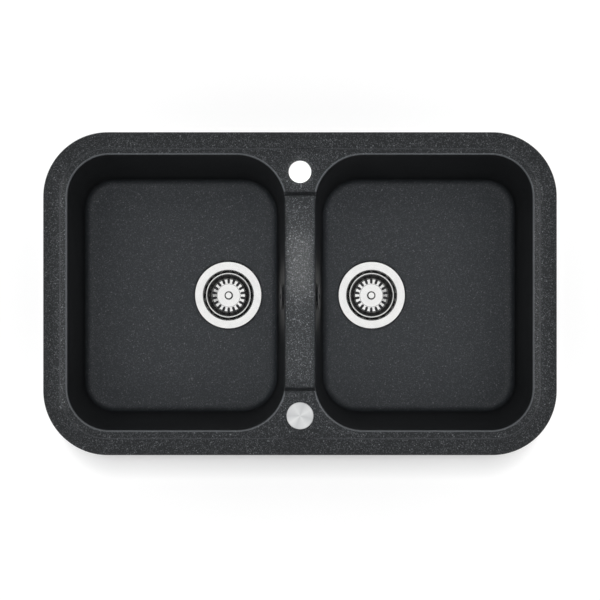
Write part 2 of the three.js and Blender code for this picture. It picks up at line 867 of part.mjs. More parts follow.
function overflowScrew() {
  const seat = coverStandoff + coverSheet + coverDome + fit;
  return turned(
    [
      [0, seat - overflowScrewLength],
      [overflowScrewRadius, seat - overflowScrewLength],
      [overflowScrewRadius, seat],
      [overflowHeadRadius, seat],
      [overflowHeadRadius * 0.8, seat + overflowHeadHeight * 0.7],
      [0, seat + overflowHeadHeight],
    ],
    12,
  );
}

for (const [side, name] of [
  [-1, "left"],
  [1, "right"],
]) {
  const group = new THREE.Group();
  const { origin, direction } = overflowPlace(side);
  group.position.copy(origin);
  group.quaternion.setFromUnitVectors(new THREE.Vector3(0, 0, 1), direction);
  sink.add(group);
  addPiece(`${name}_overflow_cover`, overflowCover(), steel, group);
  addPiece(`${name}_overflow_screw`, overflowScrew(), steel, group);
  const behindGasket = behindWall - overflowGasket;
  const gasket = ring(overflowHoleRadius + 1, overflowGasketRadius, behindGasket, behindWall);
  addPiece(`${name}_overflow_gasket`, gasket, rubber, group);
}

// The collector: a drum across the gap between the bowls, cut to both walls' slope, with a tail below.
function overflowCollector() {
  const across = new THREE.Vector3(1, 0, 0);
  const middle = new THREE.Vector3(0, overflowY, overflowZ);
  const drum = placed(bar(collectorRadius, -dividerWidth, dividerWidth, 24), middle, across);
  const chamber = placed(bar(collectorBore, -dividerWidth, dividerWidth, 16), middle, across);
  const boss = placed(bar(collectorBossRadius, -dividerWidth, dividerWidth, 10), middle, across);
  const wedgeHalf = (z) => {
    const { origin, direction } = overflowPlace(1);
    return origin.x + (collectorFace - direction.z * (z - overflowZ)) / direction.x;
  };
  const top = overflowZ + collectorRadius + 1;
  const bottom = overflowZ - collectorRadius - 1;
  const wedge = new THREE.Shape([
    new THREE.Vector2(-wedgeHalf(bottom), bottom),
    new THREE.Vector2(wedgeHalf(bottom), bottom),
    new THREE.Vector2(wedgeHalf(top), top),
    new THREE.Vector2(-wedgeHalf(top), top),
  ]);
  const reach = collectorRadius + 1;
  const wedgeBody = new THREE.ExtrudeGeometry(wedge, { depth: 2 * reach, bevelEnabled: false });
  const between = solid(wedgeBody.rotateX(Math.PI / 2).translate(0, overflowY + reach, 0));
  const webHalf = collectorBossRadius + 2;
  const web = box(
    -webHalf,
    webHalf,
    overflowY - collectorBore - 1,
    overflowY + collectorBore + 1,
    overflowZ - collectorWeb / 2,
    overflowZ + collectorWeb / 2,
  );
  const tail = roundBar(inletRadius, tailEndZ, overflowZ - collectorBore - 1, 16, 0, drainY);
  const drainBore = roundBar(hoseBore, tailEndZ - 1, overflowZ - collectorBore / 2, 12, 0, drainY);
  const shell = cut(joined(drum.intersect(between), tail), cut(chamber, boss.add(web)), drainBore);
  const screwBores = [-1, 1].map((side) => {
    const { origin, direction } = overflowPlace(side);
    const depth = -(overflowScrewLength + fit) + coverStandoff + coverSheet + coverDome;
    return placed(bar(overflowScrewRadius + fit, depth, 1, 8), origin, direction);
  });
  return cut(shell, ...screwBores);
}

addPiece("overflow_collector", overflowCollector(), plastic);

// The hose's middle line: down from the collector, round one bend, and straight into the left inlet.
const hoseEnd = new THREE.Vector3(-drainX, drainY, drainZ)
  .add(inletMouth)
  .addScaledVector(inletAxis, fit);
const hoseTurn = Math.PI / 2 - inletTilt;
const hoseLastRun = (-hoseEnd.x - hoseBend * (1 - Math.cos(hoseTurn))) / Math.cos(inletTilt);
const bendStart = new THREE.Vector3(
  0,
  drainY,
  hoseEnd.z + hoseLastRun * Math.sin(inletTilt) + hoseBend * Math.sin(hoseTurn),
);
const hoseTop = tailEndZ - fit;
const hoseFirstRun = hoseTop - bendStart.z;
const hoseLength = hoseFirstRun + hoseBend * hoseTurn + hoseLastRun;

// A point and the direction of the middle line at a distance from the collector.
function hosePlace(distance) {
  const round = THREE.MathUtils.clamp((distance - hoseFirstRun) / hoseBend, 0, hoseTurn);
  const past = Math.max(distance - hoseFirstRun - hoseBend * hoseTurn, 0);
  const along = new THREE.Vector3(-Math.sin(round), 0, -Math.cos(round));
  const point = new THREE.Vector3(
    -hoseBend * (1 - Math.cos(round)),
    drainY,
    bendStart.z - hoseBend * Math.sin(round),
  );
  if (distance < hoseFirstRun) point.z = hoseTop - distance;
  return { point: point.addScaledVector(along, past), along };
}

function hoseLoop(distance, radius, points = 8) {
  const { point, along } = hosePlace(distance);
  const sideways = new THREE.Vector3(0, 1, 0);
  const up = new THREE.Vector3().crossVectors(along, sideways);
  return Array.from({ length: points }, (_, i) => {
    const angle = (2 * Math.PI * i) / points;
    return point
      .clone()
      .addScaledVector(sideways, radius * Math.cos(angle))
      .addScaledVector(up, radius * Math.sin(angle));
  });
}

// Ribs down the outside, a plain bore back up the inside, and a smooth cuff at each end.
function ribbedHose() {
  const cuff = 2 * hoseRadius;
  const ribs = Math.floor((hoseLength - 2 * cuff) / ribPitch);
  const start = (hoseLength - ribs * ribPitch) / 2;
  const outside = [hoseLoop(0, hoseRadius), hoseLoop(start, hoseRadius)];
  for (let i = 0; i < ribs; i++) {
    outside.push(hoseLoop(start + ribPitch * (i + 0.5), hoseRadius - hoseGroove));
    outside.push(hoseLoop(start + ribPitch * (i + 1), hoseRadius));
  }
  outside.push(hoseLoop(hoseLength, hoseRadius));
  const boreSteps = Math.ceil(ribs / 5) + 2;
  const inside = Array.from({ length: boreSteps + 1 }, (_, i) =>
    hoseLoop(hoseLength * (1 - i / boreSteps), hoseBore),
  );
  return loft([...outside, ...inside], { round: true });
}

addPiece("overflow_hose", ribbedHose(), plastic);

// A union nut: over the pipe's end, with a lip behind the hose's cuff. The hose lies above z = 0.
function hoseNut() {
  const half = hoseNutLength / 2;
  const lip = half - hoseNutLip;
  return turned(
    [
      [inletRadius + fit, -half],
      [hoseNutRadius, -half],
      [hoseNutRadius, half - 1],
      [hoseNutRadius - 1, half],
      [hoseRadius + fit, half],
      [hoseRadius + fit, lip],
      [inletRadius + fit, lip - (inletRadius - hoseRadius)],
    ],
    16,
  );
}

function addHoseNut(name, origin, direction) {
  const nut = addPiece(name, hoseNut(), plastic);
  nut.position.copy(origin);
  nut.quaternion.setFromUnitVectors(new THREE.Vector3(0, 0, 1), direction);
}

addHoseNut("hose_nut_lower", hoseEnd, inletAxis);
addHoseNut("hose_nut_upper", new THREE.Vector3(0, drainY, hoseTop), new THREE.Vector3(0, 0, -1));

// The right waste's inlet isn't used, and has a blanking cap.
function blankingCap() {
  const back = -hoseNutLength / 2;
  return turned(
    [
      [inletRadius + fit, back],
      [hoseNutRadius, back],
      [hoseNutRadius, hoseNutLip - 1],
      [hoseNutRadius - 1, hoseNutLip],
      [0, hoseNutLip],
      [0, fit],
      [inletRadius + fit, fit],
    ],
    16,
  );
}

const cap = addPiece("inlet_cap", blankingCap(), plastic);
cap.position.set(drainX - inletMouth.x, drainY, drainZ + inletMouth.z);
cap.quaternion.setFromUnitVectors(
  new THREE.Vector3(0, 0, 1),
  new THREE.Vector3(-inletAxis.x, 0, inletAxis.z),
);

// ---------------------------------------------------------------- cover of the front tap hole

const holeCover = new THREE.Group();
holeCover.position.set(0, -tapHoleSetting, 0);
sink.add(holeCover);

const coverSeat = deckZ + fit;
const coverUnder = coverSeat + holeCoverSeal + fit;
const washerTop = deckUnderZ - fit;

function tapHoleCover() {
  const edge = coverUnder + holeCoverThickness;
  return turned(
    [
      [0, coverUnder - holeCoverStudLength],
      [holeCoverStud, coverUnder - holeCoverStudLength],
      [holeCoverStud, coverUnder],
      [holeCoverRadius - 0.6, coverUnder],
      [holeCoverRadius, coverUnder + 0.6],
      [holeCoverRadius, edge - 0.9],
      [holeCoverRadius - 0.9, edge],
      [holeCoverRadius * 0.6, edge + holeCoverDome * 0.64],
      [0, edge + holeCoverDome],
    ],
    24,
  );
}

addPiece("tap_hole_cover", tapHoleCover(), spunSteel, holeCover);
addPiece(
  "tap_hole_cover_seal",
  ring(tapHoleRadius + 0.5, holeCoverRadius - 0.5, coverSeat, coverSeat + holeCoverSeal),
  rubber,
  holeCover,
);
addPiece(
  "tap_hole_cover_washer",
  ring(holeCoverStud + fit, holeCoverWasherRadius, washerTop - holeCoverWasherHeight, washerTop),
  plastic,
  holeCover,
);

function wingNut() {
  const top = washerTop - holeCoverWasherHeight - fit;
  const bottom = top - wingNutHeight;
  const hub = roundBar(wingNutRadius, bottom, top, 20);
  const wings = box(-wingSpan / 2, wingSpan / 2, -wingThickness / 2, wingThickness / 2, bottom, top - 2);
  return cut(hub.add(wings), roundBar(holeCoverStud + fit, bottom - 1, top + 1, 16));
}

addPiece("tap_hole_cover_nut", wingNut(), plastic, holeCover);

// ---------------------------------------------------------------- worktop clips

// A clip, seen from its site: X outwards from the boss's face, Z up. Its leg slides on the screw in a slot,
// and its toothed jaw bites the underside of the worktop.
function clip() {
  const legTop = clipScrewZ + clipTravel + clipScrewRadius + fit + clipTopMargin;
  const jawTip = -worktopThickness;
  const jawFloor = jawTip - clipJawRise - clipSheet;
  const inner = fit;
  const outer = inner + clipJawReach;
  const bend = clipSheet;
  const side = [
    [inner, legTop],
    ...arc(inner + 2 * bend, jawFloor + 2 * bend, 2 * bend, 180, 270, 2),
    [outer, jawFloor],
    [outer, jawTip],
    [outer - clipSheet, jawTip],
    [outer - clipSheet, jawFloor + clipSheet],
    ...arc(inner + 2 * bend, jawFloor + 2 * bend, bend, 270, 180, 2),
    [inner + clipSheet, legTop],
  ];
  const shape = new THREE.Shape(side.map(([x, z]) => new THREE.Vector2(x, z)));
  const blank = new THREE.ExtrudeGeometry(shape, { depth: clipWidth, bevelEnabled: false });
  const bracket = solid(blank.rotateX(Math.PI / 2).translate(0, clipWidth / 2, 0));
  const slotHalf = clipScrewRadius + fit;
  const across = new THREE.Vector3(1, 0, 0);
  const round = (z) => placed(bar(slotHalf, -1, 2 * clipSheet, 8), new THREE.Vector3(0, 0, z), across);
  const low = clipScrewZ - clipTravel;
  const high = clipScrewZ + clipTravel;
  const slot = joined(box(-1, 2 * clipSheet, -slotHalf, slotHalf, low, high), round(low), round(high));
  const pitch = clipWidth / clipTeeth;
  const notches = Array.from({ length: clipTeeth - 1 }, (_, i) => {
    const y = pitch * (i + 1) - clipWidth / 2;
    const notch = [
      [y - clipToothDepth, jawTip + 0.01],
      [y, jawTip - clipToothDepth],
      [y + clipToothDepth, jawTip + 0.01],
    ];
    return drawnAlongX(notch, 2 * clipJawReach);
  });
  return cut(bracket, slot, ...notches);
}

function clipScrew() {
  const seat = 2 * fit + clipSheet;
  const tip = fit - clipScrewDepth;
  return turned(
    [
      [0, tip],
      [clipScrewRadius, tip],
      [clipScrewRadius, seat],
      [clipHeadRadius, seat],
      [clipHeadRadius, seat + clipHeadHeight * 0.5],
      [clipHeadRadius * 0.6, seat + clipHeadHeight],
      [0, seat + clipHeadHeight],
    ],
    8,
  );
}

for (const site of clipSites()) {
  const group = new THREE.Group();
  group.position.set(site.x, site.y, 0);
  group.rotation.z = site.turn;
  sink.add(group);
  addPiece(`clip_${site.name}`, clip(), zinc, group);
  const screw = addPiece(`clip_screw_${site.name}`, clipScrew(), zinc, group);
  screw.position.z = clipScrewZ;
  screw.rotation.y = Math.PI / 2;
}

export default sink;
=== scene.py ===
# %% [markdown]
# # A double bowl kitchen sink in moulded stone composite
#
# The engineering model gives every piece its place and its size. This lesson dresses it: each piece is
# built again with finer edges, from the same levels, and gets a finish made of shader nodes. Lengths are
# written in millimetres, as on a workshop drawing, and become metres when a piece is finished. Z = 0 is the
# top of the worktop, +Y points to the tap, and the origin is the middle of the worktop's cut-out.

import json
import math

import bmesh
import bpy
from mathutils import Matrix, Vector


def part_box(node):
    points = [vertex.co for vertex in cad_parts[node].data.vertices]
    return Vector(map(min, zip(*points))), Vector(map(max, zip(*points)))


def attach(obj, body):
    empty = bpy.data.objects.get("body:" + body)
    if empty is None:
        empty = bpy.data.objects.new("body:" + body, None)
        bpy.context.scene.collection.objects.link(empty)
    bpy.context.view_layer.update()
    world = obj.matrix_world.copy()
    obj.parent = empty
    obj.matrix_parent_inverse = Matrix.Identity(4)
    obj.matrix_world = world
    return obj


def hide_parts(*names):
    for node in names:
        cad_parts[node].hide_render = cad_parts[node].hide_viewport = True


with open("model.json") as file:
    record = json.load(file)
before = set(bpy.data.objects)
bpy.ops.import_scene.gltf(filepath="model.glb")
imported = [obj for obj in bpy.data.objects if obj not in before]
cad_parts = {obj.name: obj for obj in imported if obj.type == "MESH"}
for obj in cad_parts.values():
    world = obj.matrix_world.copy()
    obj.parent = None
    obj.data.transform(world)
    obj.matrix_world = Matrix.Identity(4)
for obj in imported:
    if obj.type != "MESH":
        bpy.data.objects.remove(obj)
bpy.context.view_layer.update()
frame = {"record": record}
scene = bpy.context.scene
record = frame["record"]

# %% [markdown]
# Each node belongs to a body that may move, and has a slot that names its finish. Both are in the record
# that comes with the model, so they are looked up rather than typed again.

# %% Who rides on what
body_of = {}
for body_name, node_names in record["behaviour"]["bodies"].items():
    body_of.update(dict.fromkeys(node_names, body_name))
slot_of = {part["node"]: part["material_slot"] for part in record["subparts"]}
print("moving pieces:", sum(1 for body_name in body_of.values() if body_name != "root"))

# %% [markdown]
# ## Writing shaders as sums
#
# A finish is easier to read as arithmetic than as a web of wires. The class `Value` holds one socket: sums,
# products and comparisons of such sockets add the Math nodes. `Nodes` adds every other kind of node to a
# tree, and `Finish` is a material that knows the coordinates of its object.

# %% A socket that can be calculated with
def operator(operation, reflected=False):
    """A method that adds one Math node."""

    def method(self, other):
        pair = (other, self) if reflected else (self, other)
        made = self.nodes.node("ShaderNodeMath", {"operation": operation}, dict(enumerate(pair)))
        return Value(self.nodes, made.outputs[0])

    return method


class Value:
    """A number that may vary over a surface."""

    def __init__(self, nodes, socket):
        self.nodes = nodes
        self.socket = socket

    __add__ = operator("ADD")
    __radd__ = operator("ADD", reflected=True)
    __sub__ = operator("SUBTRACT")
    __rsub__ = operator("SUBTRACT", reflected=True)
    __mul__ = operator("MULTIPLY")
    __rmul__ = operator("MULTIPLY", reflected=True)
    __gt__ = operator("GREATER_THAN")
    __lt__ = operator("LESS_THAN")
    __or__ = operator("MAXIMUM")
    __ror__ = operator("MAXIMUM", reflected=True)


print("values can be added, multiplied and compared")

# %% A tree of nodes
class Nodes:
    """Adds nodes to one tree."""

    def __init__(self, tree):
        self.tree = tree

    def connect(self, given, socket):
        if isinstance(given, Value):
            given = given.socket
        if isinstance(given, bpy.types.NodeSocket):
            self.tree.links.new(given, socket)
        else:
            socket.default_value = given

    def node(self, kind, settings, inputs):
        made = self.tree.nodes.new(kind)
        for name, value in settings.items():
            if name == "stops":
                self.set_stops(made.color_ramp, value)
            else:
                setattr(made, name, value)
        for name, given in inputs.items():
            self.connect(given, made.inputs[name])
        return made

    def set_stops(self, ramp, stops):
        while len(ramp.elements) < len(stops):
            ramp.elements.new(1.0)
        for element, (position, colour) in zip(ramp.elements, stops):
            element.position = position
            element.color = colour

    def seen(self):
        """1 for what the camera sees, directly or in metal or glass, and 0 for light on its way."""
        rays = self.node("ShaderNodeLightPath", {}, {}).outputs
        direct = Value(self, rays["Is Camera Ray"])
        return direct | Value(self, rays["Is Glossy Ray"]) | Value(self, rays["Is Transmission Ray"])


print("node trees ready")

# %% A finish
class Finish(Nodes):
    """A material, its shader and the coordinates of its object."""

    def __init__(self, name):
        self.material = bpy.data.materials.new(name)
        self.material.use_nodes = True
        super().__init__(self.material.node_tree)
        self.shader = self.tree.nodes["Principled BSDF"]
        self.place = self.node("ShaderNodeTexCoord", {}, {}).outputs["Object"]

    def set(self, **inputs):
        for name, given in inputs.items():
            self.connect(given, self.shader.inputs[name.replace("_", " ")])

    def noise(self, size_mm, detail=2.0, vector=None):
        """Noise from 0 to 1, its features about size_mm wide."""
        inputs = {"Vector": vector or self.place, "Scale": 1000.0 / size_mm, "Detail": detail}
        return Value(self, self.node("ShaderNodeTexNoise", {}, inputs).outputs["Fac"])

    def ramp(self, value, *stops):
        """A colour or a grey for each value between the stops."""
        coloured = []
        for position, colour in stops:
            rgb = (colour,) * 3 if isinstance(colour, float) else colour
            coloured.append((position, (*rgb, 1.0)))
        return self.node("ShaderNodeValToRGB", {"stops": coloured}, {0: value}).outputs["Color"]

    def between(self, factor, first, second):
        """The first colour at factor 0 and the second at 1."""
        made = self.node("ShaderNodeMix", {"data_type": "RGBA"}, {0: factor})
        for socket, given in ((made.inputs[6], first), (made.inputs[7], second)):
            self.connect((*given, 1.0) if isinstance(given, tuple) else given, socket)
        return made.outputs[2]

    def vector(self, operation, *inputs):
        made = self.node("ShaderNodeVectorMath", {"operation": operation}, dict(enumerate(inputs)))
        return made.outputs[0]

    def length(self, vector):
        made = self.node("ShaderNodeVectorMath", {"operation": "LENGTH"}, {0: vector})
        return Value(self, made.outputs["Value"])

    def part(self, vector, axis):
        """The X, Y or Z of a vector."""
        return Value(self, self.node("ShaderNodeSeparateXYZ", {}, {0: vector}).outputs[axis])

    def bump(self, height, depth_mm, strength=1.0):
        """Raises the surface by depth_mm where the height is 1."""
        inputs = {"Height": height, "Distance": depth_mm / 1000.0, "Strength": strength}
        self.set(Normal=self.node("ShaderNodeBump", {}, inputs).outputs["Normal"])


print("finishes ready")

# %% [markdown]
# ## The finishes
#
# The sink's body is crushed stone in a dark resin. Seen close, it is a nearly black ground full of pale
# grains about a millimetre across, and its skin is satin and faintly pebbled. The grains come from two
# Voronoi patterns, which give every cell its own random grey: many dim ones and a few bright ones. Light and
# shade are painted in too: the walls get a darker ground and fewer pale grains as painted shade, the floors
# of the bowls a paler ground as painted light, and the step of the rim and the bowls' mouths are painted
# paler as a highlight. How level a face is can be read from the normal's Z, and an edge is where a face high
# up is neither level nor upright. The saddle and the outer edge of the rim are left out of the highlight: a
# few vector nodes measure how far a point is past the middles of the rim's round corners.

# %% Reaching the outer edge
def past_corners(finish, middle_mm):
    """The distance past a rectangle's corners at (x, y), in metres, 0 inside it."""
    corner = (middle_mm[0] / 1000.0, middle_mm[1] / 1000.0, 10.0)
    outward = finish.vector("SUBTRACT", finish.vector("ABSOLUTE", finish.place), corner)
    return finish.length(finish.vector("MAXIMUM", outward, (0.0, 0.0, 0.0)))


# %% Stone composite, its heights in metres
bowl_floors = -0.150
mouths = -0.004
border = 0.0069
saddle_side = 0.0235
outer_edge = 0.0955


def grains(finish, per_metre, channel):
    """A random grey for every grain, out of the colours of a Voronoi pattern."""
    cells = finish.node("ShaderNodeTexVoronoi", {}, {"Vector": finish.place, "Scale": per_metre})
    return finish.node("ShaderNodeSeparateColor", {}, {0: cells.outputs["Color"]}).outputs[channel]


def stone_composite():
    finish = Finish("anthracite stone composite")
    facing_up = finish.part(finish.place.node.outputs["Normal"], "Z")
    height = finish.part(finish.place, "Z")
    aside = finish.part(finish.vector("ABSOLUTE", finish.place), "X")
    # The lowest parts of the bowls, mainly their floors: painted light makes them paler below.
    painted_floor_light = height < bowl_floors
    # How level a face is; the faces that are not, the walls, get painted shade below.
    level = Value(finish, finish.ramp(facing_up, (0.25, 0.0), (0.85, 1.0)))
    tilted = finish.ramp(facing_up, (0.25, 0.0), (0.60, 1.0), (0.94, 1.0), (0.98, 0.0))
    inside = past_corners(finish, (297.5, 150.0)) < outer_edge
    # Painted highlight: tilted faces high up, the step of the rim and the bowls' mouths, away from the saddle
    # and the rim's outer edge, weaker on the raised border.
    painted_edge_highlight = Value(finish, tilted) * (height > mouths) * inside
    painted_edge_highlight = painted_edge_highlight * (aside > saddle_side) * (1.0 - 0.65 * (height > border))
    ground = finish.ramp(
        finish.noise(1.1, 4.0),
        (0.32, (0.0036, 0.0043, 0.0050)),
        (0.50, (0.0056, 0.0066, 0.0076)),
        (0.68, (0.0082, 0.0096, 0.0110)),
    )
    # Painted light: a paler ground on the bowls' floors.
    ground = finish.between(0.30 * painted_floor_light, ground, (0.018, 0.020, 0.023))
    # Painted shade: a darker ground on the walls.
    ground = finish.between(level, (0.0020, 0.0023, 0.0027), ground)
    # Fewer pale grains on the walls, part of their painted shade, and on the bowls' floors, along with their
    # painted light.
    share = (0.20 + 0.80 * level) * (1.0 - 0.55 * painted_floor_light)
    sand = Value(finish, finish.ramp(grains(finish, 960.0, "Red"), (0.74, 0.0), (1.0, 1.0)))
    mixed = finish.between(sand * share, ground, (0.067, 0.071, 0.076))
    grit = Value(finish, grains(finish, 720.0, "Green")) > 0.988
    mixed = finish.between(grit * share, mixed, (0.100, 0.105, 0.111))
    # The pale colour of the painted highlight.
    mixed = finish.between(0.55 * painted_edge_highlight, mixed, (0.105, 0.112, 0.120))
    rough = 0.39 + 0.06 * finish.noise(70.0, 2.0) + 0.06 * finish.noise(3.0, 2.0)
    finish.set(Base_Color=mixed, Roughness=rough, Specular_IOR_Level=0.28)
    finish.bump(finish.noise(1.2, 3.0) + 0.5 * finish.noise(5.0, 1.0), 0.05, 0.5)
    return finish.material


composite = stone_composite()
print("made", composite.name)

# %% [markdown]
# Stainless steel shows how it was worked. The pressed flanges and baskets are rolled and polished, with a
# soft cloudiness and hairlines round the drain. Dark rings where the sheet turns down, on the knob, round the
# plate's edge and on the basket's wall, are painted shade and painted dark reflections. The rings need the
# distance from the piece's own axis, so a Mapping node moves the pattern's middle to that axis, and only X
# and Y are measured.

# %% Steels
def about(finish, axis_mm):
    """Coordinates measured from an upright axis through (x, y)."""
    shift = (-axis_mm[0] / 1000.0, -axis_mm[1] / 1000.0, 0.0)
    return finish.node("ShaderNodeMapping", {}, {"Vector": finish.place, "Location": shift}).outputs[0]


def turned_steel(name, axis_mm, ring_mm, depth_mm, base, rough):
    """Steel with rings ring_mm apart about an upright axis; also the distance from it, and the tone."""
    finish = Finish(name)
    radius = finish.length(finish.vector("MULTIPLY", about(finish, axis_mm), (1.0, 1.0, 0.0)))
    inputs = {"W": radius, "Scale": 1000.0 / ring_mm, "Detail": 3.0}
    rings = finish.node("ShaderNodeTexNoise", {"noise_dimensions": "1D"}, inputs)
    lines = Value(finish, rings.outputs["Fac"])
    cloud = finish.noise(14.0, 3.0)
    dark = tuple(0.88 * part for part in base)
    tone = finish.ramp(0.6 * lines + 0.4 * cloud, (0.35, dark), (0.65, base))
    finish.set(Roughness=rough + 0.10 * cloud + 0.10 * lines, Metallic=1.0)
    finish.bump(lines, depth_mm, 1.0)
    return finish, radius, tone


drain_x = 116.0
drain_y = 2.5
painted_shade_reach = 0.040  # the radius in metres at which the ramp of the dark rings ends
# Painted shade: dark rings on the knob, round the plate's edge and on the basket's wall.
painted_shade_rings = [(0.112, 0.0), (0.124, 0.70), (0.168, 0.70), (0.176, 0.0)]
painted_shade_rings += [(0.450, 0.0), (0.468, 0.60), (0.490, 0.0)]
painted_shade_rings += [(0.685, 0.0), (0.715, 0.96), (0.838, 0.96), (0.855, 0.0)]
steel_of = {}
for side, sign in (("left", -1.0), ("right", 1.0)):
    axis = (sign * drain_x, drain_y)
    steel, radius, tone = turned_steel(f"polished steel {side}", axis, 0.5, 0.004, (0.90, 0.90, 0.89), 0.10)
    # drawn is the painted shade of the dark rings, mixed into the steel's colour below.
    drawn = steel.ramp((1.0 / painted_shade_reach) * radius, *painted_shade_rings)
    steel.set(Base_Color=steel.between(drawn, tone, (0.045, 0.045, 0.045)))
    steel_of[side] = steel.material
print("made", len(steel_of), "polished steels")

# %% [markdown]
# A lathe leaves the front cover with fine rings, and rings spread every light into a fan, so the disc shows
# soft pale and darker sectors. A Radial gradient gives the angle about the disc's axis, and a ramp turns it
# into those sectors.

# %% Turned steel with sectors
tap_y = 189.0
cover_axis = (0.0, -tap_y)
cover_grey = (0.80, 0.81, 0.81)
turned_cover, radius, tone = turned_steel("lathe turned steel", cover_axis, 0.45, 0.020, cover_grey, 0.22)
centred = about(turned_cover, cover_axis)
angle = turned_cover.node("ShaderNodeTexGradient", {"gradient_type": "RADIAL"}, {0: centred}).outputs["Fac"]
sector_stops = [(0.00, 0.25), (0.10, 0.95), (0.20, 0.35), (0.34, 0.85), (0.46, 0.20)]
sector_stops += [(0.58, 0.90), (0.70, 0.30), (0.84, 0.80), (1.00, 0.25)]
sectors = turned_cover.ramp(angle, *sector_stops)
turned_cover.set(Base_Color=turned_cover.between(sectors, (0.50, 0.51, 0.52), tone))
cover_steel = turned_cover.material
print("made", cover_steel.name)

# %% [markdown]
# The overflow covers, screws and clips are small and plain. Brushed steel gets hairlines from a noise that is
# stretched along one way, and the overflow covers are a smoked, nearly black steel of that kind. Zinc plate
# is a cool grey with faint flowers; brass is warm and a little dull.

# %% Plated and brushed metals
def metal(name, base, rough, grain_mm, stretch=(1.0, 1.0, 1.0)):
    finish = Finish(name)
    long_way = finish.node("ShaderNodeMapping", {}, {"Vector": finish.place, "Scale": stretch})
    lines = finish.noise(grain_mm, 3.0, long_way.outputs[0])
    cloud = finish.noise(9.0, 2.0)
    dark = tuple(0.82 * part for part in base)
    tone = finish.ramp(0.5 * lines + 0.5 * cloud, (0.35, dark), (0.65, base))
    finish.set(Base_Color=tone, Roughness=rough + 0.12 * cloud + 0.10 * lines, Metallic=1.0)
    finish.bump(lines, 0.01, 0.8)
    return finish.material


brushed = metal("brushed steel", (0.78, 0.78, 0.77), 0.20, 0.4, (1.0, 0.06, 1.0))
smoked = metal("smoked steel", (0.075, 0.075, 0.08), 0.36, 0.4, (1.0, 0.06, 1.0))
zinc = metal("zinc plated steel", (0.52, 0.54, 0.55), 0.32, 1.6)
brass = metal("turned brass", (0.57, 0.36, 0.09), 0.28, 0.5, (1.0, 1.0, 4.0))
print("made brushed and smoked steel, zinc and brass")

# %% [markdown]
# The gaskets are black moulded rubber, dull with a trace of bloom. The strip under the rim is closed cell
# foam, so it is pitted. The drain fittings are off-white polypropylene: slightly translucent in reality, with
# a grained skin, which a fine bump and a faint yellowing stand for.

# %% Rubber, foam and plastic
def soft_black(name, base, pale, rough, grain_mm, depth_mm):
    finish = Finish(name)
    finish.set(Base_Color=finish.ramp(finish.noise(12.0, 3.0), (0.35, base), (0.75, pale)))
    finish.set(Roughness=rough + 0.12 * finish.noise(2.0, 2.0), Specular_IOR_Level=0.35)
    finish.bump(finish.noise(grain_mm, 2.0), depth_mm, 0.7)
    return finish.material


def moulded_plastic():
    finish = Finish("off-white polypropylene")
    tone = finish.ramp(finish.noise(40.0, 2.0), (0.35, (0.74, 0.73, 0.68)), (0.70, (0.80, 0.80, 0.77)))
    finish.set(Base_Color=tone, Roughness=0.36 + 0.10 * finish.noise(1.5, 2.0))
    finish.bump(finish.noise(0.7, 2.0), 0.03, 0.5)
    return finish.material


material_for = {
    "composite": composite,
    "satin_steel": brushed,
    "spun_steel": cover_steel,
    "zinc_steel": zinc,
    "brass": brass,
    "rubber": soft_black("black rubber", (0.012, 0.012, 0.013), (0.024, 0.024, 0.025), 0.62, 0.8, 0.03),
    "foam": soft_black("closed cell foam", (0.035, 0.036, 0.038), (0.060, 0.061, 0.063), 0.80, 1.6, 0.25),
    "plastic": moulded_plastic(),
}
print("slots with a finish:", len(material_for))

# %% [markdown]
# ## Workshop helpers
#
# Most pieces are turned, so they start as a line in the X-Z plane. The corners of the line are rounded by
# bevelling its vertices: with a profile of 0.5 the bevel is a true arc, and the distance to set back from the
# corner follows from the radius and the angle between the two runs.

# %% Rounding corners and edges
def rounded(bm, verts, setback, segments):
    """Turns the corners of a line or an outline into arcs."""
    return bmesh.ops.bevel(
        bm,
        geom=verts,
        offset=setback,
        offset_type="OFFSET",
        affect="VERTICES",
        segments=segments,
        profile=0.5,
        material=-1,
        clamp_overlap=False,
    )


def softened(bm, edges, width, segments=2):
    bmesh.ops.bevel(
        bm, geom=edges, offset=width, affect="EDGES", segments=segments, profile=0.5, material=-1
    )


# %% A line with rounded corners
def rounded_line(corners, segments=5):
    """Points [across, up] of a line through (across, up, radius) corners; the radius may be left out."""
    bm = bmesh.new()
    verts = [bm.verts.new((corner[0], 0.0, corner[1])) for corner in corners]
    for start, end in zip(verts, verts[1:]):
        bm.edges.new((start, end))
    first_point = verts[0].co.copy()
    for i in range(1, len(corners) - 1):
        if len(corners[i]) < 3:
            continue
        here = Vector(corners[i][:2])
        back = (Vector(corners[i - 1][:2]) - here).normalized()
        ahead = (Vector(corners[i + 1][:2]) - here).normalized()
        half_turn = (math.pi - back.angle(ahead)) / 2.0
        rounded(bm, [verts[i]], corners[i][2] * math.tan(half_turn), segments)
    vert = min(bm.verts, key=lambda v: (v.co - first_point).length)
    before = None
    points = []
    while vert is not None:
        point = (vert.co.x, vert.co.z)
        if not points or math.dist(point, points[-1]) > 0.001:
            points.append(point)
        onward = [edge for edge in vert.link_edges if edge is not before]
        before = onward[0] if onward else None
        vert = before.other_vert(vert) if onward else None
    bm.free()
    return points


print("a quarter round has", len(rounded_line([(0, 0), (2, 0, 1), (2, 2)])), "points")

# %% [markdown]
# A turned piece is that line spun about Z. The spin closes the round itself; points on the axis would leave
# a pole of many vertices, so doubles are merged afterwards, and the faces are turned outwards.

# %% Spinning a line
def wire(bm, points, closed):
    verts = [bm.verts.new((across, 0.0, up)) for across, up in points]
    edges = [bm.edges.new(pair) for pair in zip(verts, verts[1:])]
    if closed:
        edges.append(bm.edges.new((verts[-1], verts[0])))
    return verts + edges


def spun(points, segments, closed):
    bm = bmesh.new()
    bmesh.ops.spin(
        bm,
        geom=wire(bm, points, closed),
        cent=(0, 0, 0),
        axis=(0, 0, 1),
        angle=2.0 * math.pi,
        steps=segments,
        use_merge=True,
    )
    return bm


